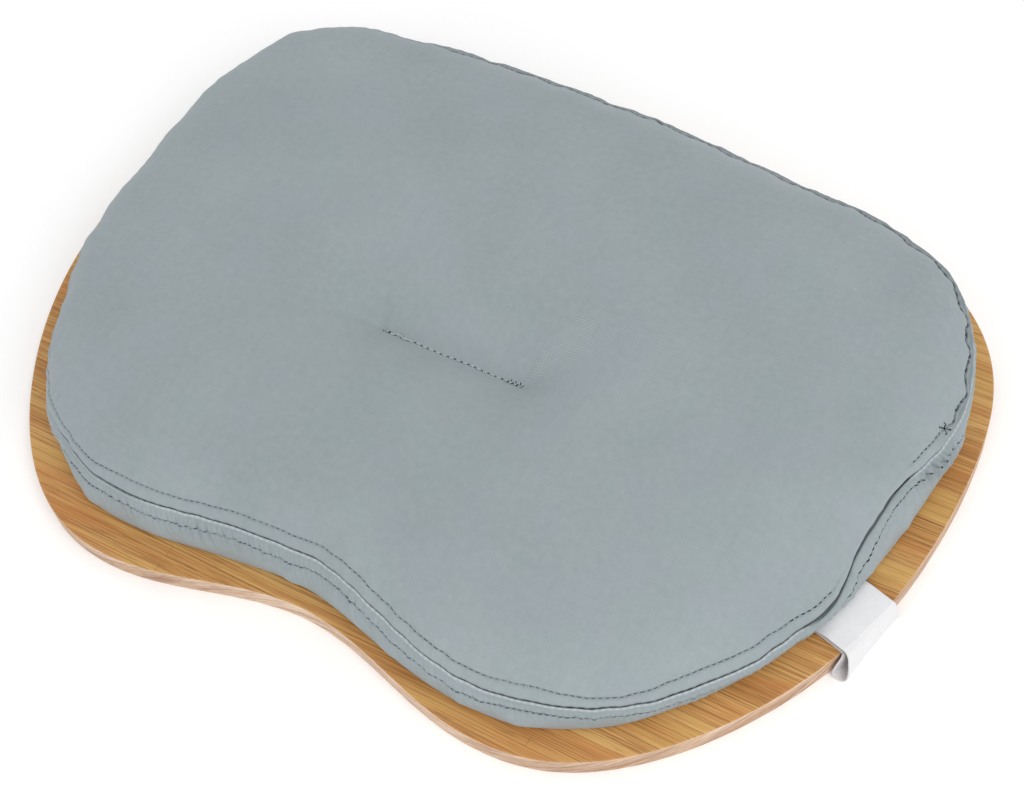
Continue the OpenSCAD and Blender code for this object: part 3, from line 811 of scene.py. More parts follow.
def edge_point(w, extra=0.0):
    """Outer surface of the top panel w mm (a number or an array) from the seam."""
    w = np.broadcast_to(np.asarray(w, float), (N,))
    p, d = along(EDGE, EDGE_RUN, w)
    nn = np.column_stack([d[:, 1], -d[:, 0]])
    fade = 1 - smooth(w, EDGE_RUN[:, -1] - 8, EDGE_RUN[:, -1])
    p = p + nn * (edge_push(w) * fade + extra)[:, None]
    q = BASE + NB * p[:, :1]
    return np.column_stack([q, p[:, 1] + folds(q) * smooth(w, 2, EDGE_RUN[:, -1])])


def inner_point(step, x, k=0.0):
    """Surface of the top panel inside its rim: x from 0 at the rim to 1 at the tuft."""
    a, b, span = INNER[::step], SLIT[::step], SPAN[::step, None]
    t0, t1 = -NB[::step] * span, b - a
    q = (2 * x ** 3 - 3 * x ** 2 + 1) * a + (x ** 3 - 2 * x ** 2 + x) * t0 + (3 * x ** 2 - 2 * x ** 3) * b + (x ** 3 - x ** 2) * t1
    s = (RIM_IN + SPAN[::step] * x) / REACH[::step]
    z = crown(ZRIM[::step], s, q) + folds(q) * (1 - smooth(s, 0.985, 1.0))
    return np.column_stack([q, z - k])


# ---------------------------------------------------------------- the side band's outlines
du = (BASE - STRAP_AT) @ SU
dv = (BASE - STRAP_AT) @ SV
OVER_STRAP = (1 - smooth(np.abs(dv), 16.8, 21.5)) * (du > -60)
ZFOOT = 10.32 + 2.15 * OVER_STRAP
PUSH = PUSH + 0.9 * OVER_STRAP
FOOT = BASE + NB * PUSH[:, None]


def wall():
    """The band's side view at every column, from just under the seam to the foot."""
    h = ZSEAM - ZFOOT
    swell = 2.0 + 0.5 * wave(BASE_S, BASE_L, 70, 61) + 0.25 * wave(BASE_S, BASE_L, 24, 62)
    swell = swell - 3.6 * smooth(U, 5.0, 5.6) * (1 - smooth(U, 6.3, 6.8)) + 1.3 * near(7.05, 0.35)
    squeeze = np.clip(h / 26, 0.35, 1)
    p0 = np.column_stack([-INSET + 0.35, ZSEAM - 1.0 - GAP])
    p1 = np.column_stack([-INSET + 1.1 + 2.6 * squeeze, ZSEAM - 1.0 - GAP - h * 0.16])
    p2 = np.column_stack([swell * squeeze * 1.4 + 0.2 + PUSH, ZFOOT + h * 0.38])
    p3 = np.column_stack([PUSH, ZFOOT + 1.3])
    return bezier((p0, p1, p2, p3), 90)


WALL, WALL_RUN = wall()
WALL_LEN = WALL_RUN[:, -1]
low_tab = np.array([6, 6, 6, 6, 6, 6, 6.5, 7, 4.5, 7.5, 6.2, 4.6, 4.0, 4.4, 6, 6.3, 6.3, 6.3, 6.2, 5.8, 6, 6, 6, 6, 6, 6, 6, 6, 6, 6, 6, 6], float)
LOW_W = np.minimum(spline(control(low_tab), U)[:, 0] + 0.3 * wave(BASE_S, BASE_L, 66, 42), 0.5 * WALL_LEN)


def band_push(w):
    """Puckers, pads and waves of the band, w mm down from the seam."""
    low = LOW_W
    rel = w / low
    ss = BASE_S
    lean = 0.18 * w
    a = np.sin(TAU * (ss + lean) / 2.35 + 1.8 * wave(ss, BASE_L, 33, 71))
    b = wave(ss + lean, BASE_L, 5.2, 72, spread=0.3)
    env = np.exp(-((rel - 1.1) / 1.25) ** 2) * smooth(w, 0.3, 1.8)
    out = PUCK * (0.13 * a + 0.13 * b) * env
    out = out + 0.36 * np.clip(1 - (rel - 0.5) ** 2 / 0.25, 0, 1) * smooth(w, 0.2, 1.4)
    out = out - (0.36 + 0.2 * HOLES) * np.exp(-((w - low) / 0.6) ** 2)
    out = out + 0.16 * wave(ss, BASE_L, 15, 73) * np.exp(-((rel - 1.4) / 0.9) ** 2)
    out = out - 1.5 * near(8.4, 0.5) * np.exp(-((w - low - 4.5) / 3.6) ** 2) + 0.7 * near(9.1, 0.4) * np.exp(-((w - low - 5) / 4) ** 2)
    out = out + (0.35 * wave(ss, BASE_L, 34, 74) + 0.22 * wave(ss, BASE_L, 19, 75)) * smooth(w, 2, 12) * (1 - smooth(w / WALL_LEN, 0.75, 1.0))
    return out


def band_point(w, extra=0.0):
    w = np.broadcast_to(np.asarray(w, float), (N,))
    p, d = along(WALL, WALL_RUN, w)
    p = p + np.column_stack([-d[:, 1], d[:, 0]]) * (band_push(w) + extra)[:, None]
    return np.column_stack([BASE + NB * p[:, :1], p[:, 1]])


def pleat_shade(w):
    """Painted shade in the valleys between the band's small puckers."""
    rel = w / LOW_W
    a = np.sin(TAU * (BASE_S + 0.18 * w) / 2.35 + 1.8 * wave(BASE_S, BASE_L, 33, 71))
    return 0.065 * np.clip(PUCK, 0, 2.2) * np.clip(-a, 0, 1) * np.exp(-((rel - 1.1) / 1.1) ** 2)


# Painted shade for the seam groove: k times a broken, dashed darkness, unbroken where the seam runs deep.
def seam_shade(k):
    dash = 0.72 + 0.28 * np.clip(1.6 * np.sin(TAU * BASE_S / 4.6 + 1.2 * wave(BASE_S, BASE_L, 30, 51)) + 0.5, -1, 1)
    dash = np.maximum(dash, DEEP)
    return np.clip(k * dash * (0.90 + 0.10 * wave(BASE_S, BASE_L, 45, 52)), 0, 1)


def lip(off, dz):
    return np.column_stack([SXY + NB * off, ZSEAM + dz])


# ---------------------------------------------------------------- the cover
def cushion_top():
    rings, weave, shade = [], [], []

    def add(pts, sh, flat=None):
        rings.append(pts)
        uv = pts[:, :2] if flat is None else flat
        weave.append(np.column_stack([uv * MM, np.zeros(len(pts))]))
        shade.append(np.broadcast_to(sh, len(pts)).astype(float))

    def developed(w):
        return BASE - NB * (RIM_IN - (EDGE_RUN[:, -1] - w))[:, None]

    # under side, from the middle outwards
    for x in 1 - (1 - np.linspace(1, 0, 20)) ** 1.25:
        add(inner_point(8, x, 1.0), 0)
    end = EDGE_RUN[:, -1]
    for w in (end - 5, end - 12):
        add(edge_point(w, -1.0)[::4], 0)
    add(edge_point(UP_W + 4, -1.0)[::2], 0)
    # The panel's edge turned into the seam: k is painted shade in the groove.
    for off, dz, k in ((-2.0, 0.9, 0.4), (-1.9, 0.2, 0.8), (-1.75, -0.4, 1.0), (-1.55, -0.8, 1.0), (-0.9, -0.7, 1.0), (-0.42, -0.42, 1.0), (-0.12, -0.1, 0.8)):
        add(lip(off, dz), seam_shade(k))
    # The first rows beside the seam: painted shade, more along NIP and LEFT.
    for most, part, k, nip in ((0.25, 0.10, 0.42, 0.45), (0.55, 0.22, 0.12, 0.15), (0.9, 0.34, 0.03, 0.0)):
        w = np.minimum(most, part * UP_W)
        add(edge_point(w, -0.05 if most < 0.5 else 0.0), seam_shade(k) + nip * (NIP + LEFT), developed(w))
    low_w, tight = np.minimum(0.9, 0.34 * UP_W), np.minimum(1, 0.38 * UP_W)
    # Painted shade on the strip beside the back seam (BACK).
    for f in (0.14, 0.29, 0.43, 0.57, 0.71, 0.86):
        w = low_w + (UP_W - 0.9 * tight - low_w) * f
        add(edge_point(w), BACK * 0.34, developed(w))
    # Painted shade along the upper stitch groove, at the needle holes and, at the back, as a dashed dark line.
    for e in (-0.9, -0.55, -0.25, 0.05, 0.4, 0.8, 1.3):
        w = UP_W + (e * tight if e < 0 else e)
        add(edge_point(w), (1 - FOLD) * ((0.12 * HOLES ** 2 + BACK * (0.66 + 0.34 * DASH)) * math.exp(-((e + 0.1) / 0.5) ** 2) + 0.03 * math.exp(-(e / 0.5) ** 2)), developed(w))
    for e in (2.0, 3.0, 4.3):
        add(edge_point(UP_W + e), 0, developed(UP_W + e))
    for f in (0.12, 0.26, 0.42, 0.6, 0.8):
        w = UP_W + 4.3 + (end - UP_W - 4.3) * f
        add(edge_point(w)[::2], 0, developed(w)[::2])
    for x in 1 - (1 - np.linspace(0, 1, 50)) ** 1.3:
        add(inner_point(4, x), 0)
    pts, faces = stack(rings, cap_first=True, cap_last=True)
    o = make("cushion_cover_top", pts, faces, [MAT["cloth"]], {"weave": np.vstack(weave), "shade": np.concatenate(shade)})
    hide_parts("cover_top_panel")
    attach(o, "cushion")
    return o


def cushion_band():
    rings, weave, shade = [], [], []

    def add(pts, w, sh):
        step = N // len(pts)
        rings.append(pts)
        weave.append(np.column_stack([BASE_S[::step] * MM, np.full(len(pts), w * MM), np.zeros(len(pts))]))
        shade.append(np.broadcast_to(sh, len(pts)).astype(float))

    # inside of the wall, from the foot upwards, then round the rolled lip
    for f in (0.92, 0.6, 0.3):
        add(band_point(WALL_LEN * f, -1.0)[::4], 30 * f, 0)
    # Painted shade on the band's inner side and rolled lip, inside the seam.
    add(band_point(3.2, -1.0)[::2], 3, 0.3)
    add(lip(-0.9, -2.4 - GAP), 1, 0.8)
    for off, dz, k in ((-1.5, -1.7, 0.9), (-1.8, -1.35, 1.0), (-1.6, -1.05, 1.0), (-1.1, -0.86, 1.0), (-0.6, -0.74, 0.95), (-0.3, -0.70, 0.4)):
        add(lip(off, dz - GAP), off * 0.5, seam_shade(k))
    # Painted highlight on the band's lip and the row below it (negative shade), weaker at the needle holes; painted
    # shade instead along NIP and LEFT.
    add(lip(0.0, -0.74 - GAP), 0.1, -0.90 * (1 - 0.5 * HOLES) * (1 - DEEP) * (1 - LEFT) + 0.95 * NIP + 0.30 * LEFT)
    add(band_point(LOW_W * 0.05), 0.4, -0.40 * (1 - 0.5 * HOLES) * (1 - DEEP) + 0.30 * NIP)
    for f in (0.12, 0.19, 0.28, 0.4, 0.52, 0.64, 0.76, 0.87):
        add(band_point(LOW_W * f), 8.6 * f, pleat_shade(LOW_W * f))
    # Painted shade in the lower stitch groove at the needle holes, with the pucker shade.
    for e in (-0.8, -0.45, -0.15, 0.15, 0.5, 0.95):
        add(band_point(LOW_W + e), 8.6 + e, 0.12 * HOLES ** 2 * math.exp(-(e / 0.35) ** 2) + pleat_shade(LOW_W + e))
    for f in (0.06, 0.13, 0.21, 0.3, 0.4, 0.5, 0.6, 0.7, 0.8, 0.9, 0.96):
        w = LOW_W + 0.95 + (WALL_LEN - LOW_W - 0.95) * f
        add(band_point(w), 9.5 + 20 * f, pleat_shade(w))
    foot = np.column_stack([FOOT, ZFOOT])
    NS3 = np.column_stack([NB, np.zeros(N)])
    up = np.array([0, 0, 1.0])
    # The foot turning under onto the board: k paints shade, darker towards the board.
    for off, dz, k in ((0.02, 1.1, 0.0), (-0.12, 0.7, 0.05), (-0.45, 0.32, 0.1), (-1.0, 0.08, 0.15), (-1.9, 0.0, 0.2), (-3.0, 0.0, 0.2)):
        add(foot + NS3 * off + up * dz, 31 - off, k)
    add((foot + NS3 * -3.2 + up * 0.9)[::2], 34, 0)
    add((foot + NS3 * -1.6 + up * 1.5)[::4], 33, 0)
    pts, faces = stack(rings, closed=True)
    o = make("cushion_cover_band", pts, faces, [MAT["cloth"]], {"weave": np.vstack(weave), "shade": np.concatenate(shade)})
    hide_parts("cover_side_band")
    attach(o, "cushion")
    return o


def cushion_base():
    """The cloth that faces the board: it sags to the board round its rim and lies on the tapes in the middle."""
    step = 4
    xy, nn = BASE[::step], NB[::step]
    zf = ZFOOT[::step]
    rings, weave = [], []

    def add(q, z):
        rings.append(np.column_stack([q, z]))
        weave.append(np.column_stack([q * MM, np.zeros(len(q))]))

    ripple = 0.12 * wave(BASE_S[::step], BASE_L, 11, 81)
    mid = np.array([0.0, -Y_MID])
    for lift, order in ((0.0, 1), (0.9, -1)):
        shelf = []
        for d, z in ((2.6, 0.06), (3.4, 0.1), (4.4, 0.25), (5.6, 0.6), (7.2, 1.2), (9.0, 1.7), (11.5, 1.96)):
            lowest = zf + z * np.where(OVER_STRAP[::step] > 0.5, 0.25, 1) + ripple * smooth(d, 3, 6) * (1 - smooth(d, 7, 11))
            shelf.append((xy - nn * d + nn * PUSH[::step, None] * (1 - smooth(d, 3, 9)), np.maximum(lowest, np.where(OVER_STRAP[::step] > 0.5, BASE_Z, 0)) + lift))
        edge = xy - nn * 14
        for x in (0.0, 0.25, 0.5, 0.75, 0.93):
            q = edge + (mid - edge) * x
            shelf.append((q, np.full(len(q), BASE_Z + lift)))
        for q, z in shelf[::order]:
            add(q, z)
    # first the outside from the rim in, then back out on the inside
    pts, faces = stack(rings, closed=True)
    n = len(xy)
    k = 12
    faces = [f for f in faces if not (min(f) >= (k - 1) * n and max(f) < (k + 1) * n)]
    faces.append(list(range((k - 1) * n, k * n)))
    faces.append(list(range(k * n, (k + 1) * n)))
    o = make("cushion_cover_base", pts, faces, [MAT["cloth"]], {"weave": np.vstack(weave), "shade": np.zeros(len(pts))})
    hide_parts("cover_base_panel")
    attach(o, "cushion")
    return o


# ---------------------------------------------------------------- stitches
def stitch_row(name, path, normal, pitch, gap, radius, material, closed=True, seed=1, hole_shade=0.36, sink=0.12, wander=0.06, dark=None):
    """A row of separate thread stitches with a needle hole between each pair, laid on the points of path. Each needle
    hole is a dark disc of painted shade.
    """
    r = np.random.default_rng(seed)
    path, normal = np.asarray(path, float), np.asarray(normal, float)
    if closed:
        path = np.vstack([path, path[:1]])
        normal = np.vstack([normal, normal[:1]])
        dark = None if dark is None else np.append(dark, dark[0])
    run = np.concatenate([[0], np.cumsum(np.linalg.norm(np.diff(path, axis=0), axis=1))])
    total = run[-1]
    count = max(1, round(total / pitch))
    real = total / count
    at = lambda arr, s: np.column_stack([np.interp(s, run, arr[:, i]) for i in range(3)])
    m, sides = 8, 6
    tau = np.linspace(0, 1, m)
    pts, faces, weave, index = [], [], [], []
    base = 0
    width = radius * (0.62 + 0.38 * np.sin(np.pi * tau) ** 0.6)
    high = radius * (-0.55 + 0.95 * np.sin(np.pi * tau) ** 0.7) - sink * 0.2
    quads = []
    for i in range(m - 1):
        for j in range(sides):
            k = (j + 1) % sides
            quads.append((i * sides + j, i * sides + k, (i + 1) * sides + k, (i + 1) * sides + j))
    quads.append(tuple(range(sides))[::-1])
    quads.append(tuple(range((m - 1) * sides, m * sides)))
    for n in range(count):
        s0 = n * real + gap / 2 + r.uniform(-0.05, 0.05) * pitch
        s1 = (n + 1) * real - gap / 2 + r.uniform(-0.05, 0.05) * pitch
        s = s0 + (s1 - s0) * tau
        s = np.clip(s, 0, total)
        c = at(path, s)
        up = at(normal, s)
        up /= np.linalg.norm(up, axis=1)[:, None]
        t = at(path, np.clip(s + 0.3, 0, total)) - at(path, np.clip(s - 0.3, 0, total))
        t /= np.linalg.norm(t, axis=1)[:, None]
        sd = np.cross(t, up)
        c = c + up * high[:, None] + sd * (r.uniform(-wander, wander) + (tau - 0.5)[:, None] * r.uniform(-wander, wander) * 2)
        ang = np.arange(sides) / sides * TAU
        ring = c[:, None, :] + width[:, None, None] * (np.cos(ang)[None, :, None] * sd[:, None, :] + 0.85 * np.sin(ang)[None, :, None] * up[:, None, :])
        pts.append(ring.reshape(-1, 3))
        weave.append(np.column_stack([np.repeat(s * MM, sides), np.tile(ang / TAU, m), np.zeros(m * sides)]))
        faces += [tuple(base + q for q in f) for f in quads]
        index += [0] * len(quads)
        base += m * sides
    # Needle holes: dark discs of painted shade, the darker material where dark is set and the softer one elsewhere.
    if hole_shade:
        spots = np.arange(count + (0 if closed else 1)) * real
        h = 8
        ang = np.arange(h) / h * TAU
        for s in spots:
            c = at(path, np.array([s]))[0]
            up = at(normal, np.array([s]))[0]
            up /= np.linalg.norm(up)
            tone = 1 if dark is None or np.interp(s, run, dark) > 0.5 else 2
            t = (at(path, np.array([min(s + 0.3, total)])) - at(path, np.array([max(s - 0.3, 0)])))[0]
            t /= np.linalg.norm(t)
            sd = np.cross(t, up)
            a, b = hole_shade * r.uniform(1.3, 1.9), hole_shade * r.uniform(0.7, 0.95)
            rim = c + np.cos(ang)[:, None] * t * a + np.sin(ang)[:, None] * sd * b + up * 0.10
            pts.append(np.vstack([rim - up * 0.4, rim, (c + up * 0.14)[None]]))
            weave.append(np.zeros((2 * h + 1, 3)))
            for j in range(h):
                k = (j + 1) % h
                faces.append((base + j, base + k, base + h + k, base + h + j))
                faces.append((base + h + j, base + h + k, base + 2 * h))
                index += [tone, tone]
            faces.append(tuple(base + j for j in range(h))[::-1])
            index.append(tone)
            base += 2 * h + 1
    return make(name, np.vstack(pts), faces, [material, MAT["hole_shade"], MAT["hole_shade_soft"]], {"weave": np.vstack(weave)}, index)


def topstitches():
    # Where the needle holes get the darker painted shade; elsewhere they get the softer one.
    dark = ((U < 10.2) | (U > 28.0)).astype(float)
    a, b, c = edge_point(UP_W - 0.5), edge_point(UP_W, -1.6 * FOLD), edge_point(UP_W + 0.5)
    nrm = np.cross(np.roll(b, -2, 0) - np.roll(b, 2, 0), a - c)
    nrm *= np.sign(nrm[:, 2] + (nrm[:, :2] * NB).sum(1))[:, None]
    nrm /= np.linalg.norm(nrm, axis=1)[:, None]
    o = stitch_row("topstitch_upper", b, nrm, PITCH, 1.1, 0.27, MAT["thread"], seed=5, hole_shade=0.52, dark=dark)
    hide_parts("upper_topstitch")
    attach(o, "cushion")
    a, b, c = band_point(LOW_W - 0.5), band_point(LOW_W, 0.13 + 0.10 * NIP), band_point(LOW_W + 0.5)
    nrm = np.cross(np.roll(b, -2, 0) - np.roll(b, 2, 0), a - c)
    nrm *= np.sign((nrm[:, :2] * NB).sum(1))[:, None]
    nrm /= np.linalg.norm(nrm, axis=1)[:, None]
    o = stitch_row("topstitch_lower", b, nrm, PITCH, 1.1, 0.27, MAT["thread"], seed=6, hole_shade=0.52, dark=dark)
    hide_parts("lower_topstitch")
    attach(o, "cushion")
    # the row that closes the base
    rim = np.column_stack([FOOT - NB * 2.7, ZFOOT - 0.02])
    nrm = np.tile([0, 0, -1.0], (N, 1))
    o = stitch_row("base_seam_row", rim, nrm, 3.4, 0.8, 0.24, MAT["thread"], seed=7, hole_shade=0)
    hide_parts("base_seam_thread")
    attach(o, "cushion")


def tuft_row():
    x = np.linspace(-TUFT_L / 2 + 2.5, TUFT_L / 2 - 6, 120)
    wig = 0.22 * np.sin(x * 0.21) + 0.12 * np.sin(x * 0.63 + 1)
    z = CROWN_Z - tuft(np.column_stack([HEART[0] + x, np.full_like(x, HEART[1])]))
    line = np.column_stack([HEART[0] + x, HEART[1] + wig, z + 0.25])
    nrm = np.tile([0, 0, 1.0], (len(x), 1))
    o = stitch_row("tuft_stitches", line, nrm, 3.7, 1.1, 0.50, MAT["thread_light"], closed=False, seed=8, hole_shade=0.46, wander=0.16,
                   dark=np.zeros(len(line)))
    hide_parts("tuft_stitch")
    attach(o, "cushion")
    # the bartacks: a zig-zag on the right end, a doubled thread and two short knots on the left
    deep = CROWN_Z - DISH
    xs = HEART[0] + np.linspace(TUFT_L / 2 - 7.5, TUFT_L / 2 + 0.9, 8)
    zz = np.array([(xs[i], HEART[1] + (1.25 if i % 2 else -1.15), deep + 0.75 + 0.12 * (i % 3)) for i in range(len(xs))])
    xl = HEART[0] + np.linspace(-TUFT_L / 2 - 0.6, -TUFT_L / 2 + 2.6, 5)
    zl = np.array([(xl[i], HEART[1] + (0.6 if i % 2 else -0.5), deep + 0.55) for i in range(len(xl))])
    end = HEART[0] - TUFT_L / 2
    double = np.array([(end + 4.5, HEART[1] - 0.9, deep + 0.6), (end + 8, HEART[1] + 0.7, deep + 1.0), (end + 11.5, HEART[1] - 0.7, deep + 0.95), (end + 15, HEART[1] + 0.4, deep + 0.7)])
    parts = [tube(zz, 0.30), tube(zl, 0.24), tube(double, 0.36)]
    # Dark discs of painted shade at the bartacks' needle holes.
    spots = [(x + 0.45, HEART[1] + y, deep + 0.5) for i, x in enumerate(xs) for y in ((1.2, 0.2) if i % 2 else (-1.2, -0.2))]
    spots += [(end - 0.2, HEART[1], deep + 0.6), (end + 0.4, HEART[1] + 0.3, deep + 0.6), (end + 2.9, HEART[1] - 0.2, deep + 0.6), (end + 3.4, HEART[1] + 0.2, deep + 0.6), (end + 7.5, HEART[1] + 1.9, deep + 0.6), (end + 9.3, HEART[1] + 1.7, deep + 0.55)]
    parts += [disc(p, (0, 0, 1), 0.55) for p in spots]
    parts += cross_tack()
    tack(parts, "tuft_bartack_knots", "thread_light", "tuft_bartacks")


def ties():
    """Threads that run in pairs from the tuft down through the foam to the base cloth."""
    parts = []
    xs = np.linspace(-TUFT_L / 2 + 4, TUFT_L / 2 - 4, 8)
    top = CROWN_Z - DISH - 0.7
    for x in xs:
        for s in (-0.5, 0.5):
            parts.append(tube(np.array([(HEART[0] + x + s, HEART[1], top), (HEART[0] + x + s * 1.1, HEART[1] + 0.1, 30.0),
                                        (HEART[0] + x + s, HEART[1], BASE_Z + 0.3)]), 0.3))
    pts, faces, weave = join_parts(parts)
    o = make("tuft_tie_threads", pts, faces, [MAT["thread"]], {"weave": weave})
    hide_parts("tuft_ties")
    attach(o, "cushion")


def tack(parts, name, material, node):
    """Threads and needle holes as one object; holes are the parts with a dark mark, painted shade for the holes and
    painted shadow beside threads.
    """
    pts, faces, weave = join_parts(parts)
    index = np.concatenate([np.full(len(f), 1 if w[0, 2] > 0.5 else 0) for _, f, w in parts])
    o = make(name, pts, faces, [MAT[material], MAT["hole_shade"]], {"weave": weave}, index)
    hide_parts(node)
    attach(o, "cushion")
    return o


def disc(c, up, r, sides=8):
    c, up = np.array(c, float), np.array(up, float)
    up /= np.linalg.norm(up)
    sd = np.cross(up, [0.3, 0.9, 0.1])
    sd /= np.linalg.norm(sd)
    t = np.cross(sd, up)
    ang = np.arange(sides) / sides * TAU
    rim = c + r * (np.cos(ang)[:, None] * sd + 0.8 * np.sin(ang)[:, None] * t)
    pts, faces = stack([rim - up * 0.3, rim], cap_first=True, cap_last=True)
    return pts, faces, np.tile([0, 0, 1.0], (len(pts), 1))


def cross_tack():
    """The cross-shaped lock stitch on the right side, on the upper topstitch."""
    i = int(7.13 / 32 * N)
    rows = [edge_point(UP_W + e, 0.2)[i - 8:i + 9] for e in (-2.0, -1.0, 0.0, 1.0, 2.0)]
    pick = lambda r, c: rows[r][8 + c]
    nrm = np.cross(pick(0, 0) - pick(4, 0), pick(2, 6) - pick(2, -6))
    nrm *= np.sign(nrm[2])
    parts = [tube(np.array([pick(0, -3), pick(2, 0), pick(4, 3)]), 0.26), tube(np.array([pick(0, 3), pick(2, 0), pick(4, -3)]), 0.24),
             tube(np.array([pick(2, -5), pick(2, 1), pick(2, 5)]), 0.22)]
    # Dark copies of the two crossing threads, set a little to one side: painted shadow. The discs after them are needle
    # holes in painted shade.
    for line in ([pick(0, -3), pick(2, 0), pick(4, 3)], [pick(0, 3), pick(2, 0), pick(4, -3)]):
        pts, faces, weave = tube(np.array(line) + [0.35, 0.1, 0.05], 0.24)
        parts.append((pts, faces, np.tile([0, 0, 1.0], (len(pts), 1))))
    parts += [disc(p, nrm, 0.45) for p in (pick(0, -3), pick(4, 3), pick(0, 3), pick(4, -3))]
    return parts


def rounded(path, m=5):
    """A smooth open line through the points of path."""
    p = np.asarray(path, float)
    ext = np.vstack([2 * p[0] - p[1], p, 2 * p[-1] - p[-2]])
    out = []
    for i in range(len(p) - 1):
        a, b, c, d = ext[i:i + 4]
        for t in np.arange(m) / m:
            out.append(0.5 * ((2 * b) + (c - a) * t + (2 * a - 5 * b + 4 * c - d) * t * t + (3 * b - a - 3 * c + d) * t ** 3))
    out.append(p[-1])
    return np.array(out)


def tube(path, radius, sides=7, m=4):
    line = rounded(path, m)
    t = np.gradient(line, axis=0)
    t /= np.linalg.norm(t, axis=1)[:, None]
    ref = np.array([1.0, 0, 0]) if np.abs(t[:, 2]).mean() > 0.9 else np.array([0, 0, 1.0])
    sd = np.cross(t, ref)
    sd /= np.maximum(np.linalg.norm(sd, axis=1), 1e-6)[:, None]
    up = np.cross(sd, t)
    ang = np.arange(sides) / sides * TAU
    rings = [line[i] + radius * (np.cos(ang)[:, None] * sd[i] + np.sin(ang)[:, None] * up[i]) for i in range(len(line))]
    pts, faces = stack(rings, cap_first=True, cap_last=True)
    run = np.concatenate([[0], np.cumsum(np.linalg.norm(np.diff(line, axis=0), axis=1))])
    weave = np.column_stack([np.repeat(run * MM, sides), np.tile(ang / TAU, len(line)), np.zeros(len(line) * sides)])
    return pts, faces, weave


def join_parts(parts):
    pts, faces, weave, base = [], [], [], 0
    for p, f, w in parts:
        pts.append(p)
        weave.append(w)
        faces += [tuple(base + i for i in q) for q in f]
        base += len(p)
    return np.vstack(pts), faces, np.vstack(weave)


# ---------------------------------------------------------------- what the cover holds
def filling():
    st = 8
    end = EDGE_RUN[:, -1]

    def layer(drop, count):
        """Rings of a layer that lies drop mm under the cover, from the edge to the tuft."""
        out = [edge_point(UP_W * 0.55, -drop)[::st], edge_point(UP_W + 1.5, -drop)[::st]]
        out += [edge_point(UP_W + 3 + (end - UP_W - 3) * f, -drop)[::st] for f in (0.0, 0.2, 0.42, 0.68)]
        for x in np.linspace(0, 1, count) ** 0.8:
            out.append(inner_point(st, x * 0.93, drop + 0.9 * x ** 3))
        return out

    # wadding: a sheet 3 mm thick under the top panel, open over the tuft
    rings = layer(1.6, 22) + layer(4.4, 22)[::-1]
    pts, faces = stack(rings, closed=True)
    o = make("wadding", pts, faces, [MAT["wadding"]])
    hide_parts("wadding_sheet")
    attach(o, "cushion")
    # foam: fills the rest, with a slot for the tuft's ties
    top = layer(5.4, 22)[1:]
    hub = top[-1][:, :2]
    flat = lambda q, z: np.column_stack([q, np.full(len(q), z)])
    low = 14.2
    edge = BASE[::st] - NB[::st] * 7.0
    wall_low = BASE[::st] - NB[::st] * 6.0
    bottom = [flat(hub, low), flat(hub + (edge - hub) * 0.5, low), flat(edge, low), flat(wall_low, low + 1.5)]
    zt = top[0][:, 2]
    side = [np.column_stack([wall_low + (top[0][:, :2] - wall_low) * f, low + 1.5 + (zt - low - 1.5) * f]) for f in (0.35, 0.7)]
    pts, faces = stack(bottom + side + top, closed=True)
    o = make("foam_pad", pts, faces, [MAT["foam"]], sharp=50)
    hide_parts("foam_core")
    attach(o, "cushion")
    # turned edges of the two cloths inside the seam
    short = np.minimum(6.0, (ZSEAM - ZFOOT) * 0.35)
    rows = [lip(-2.2, -1.2), lip(-3.2, -1.3), lip(-3.9, -1.7 - short + 0.3 * wave(BASE_S, BASE_L, 9, 91)), lip(-3.1, -1.7 - short)]
    pts, faces = stack([r[::4] for r in rows], closed=True)
    ss = np.tile(BASE_S[::4] * MM, 4)
    o = make("seam_allowance_hem", pts, faces, [MAT["cloth"]],
             {"weave": np.column_stack([ss, pts[:, 2] * MM, np.zeros(len(ss))]), "shade": np.zeros(len(ss))})
    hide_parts("seam_allowance")
    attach(o, "cushion")


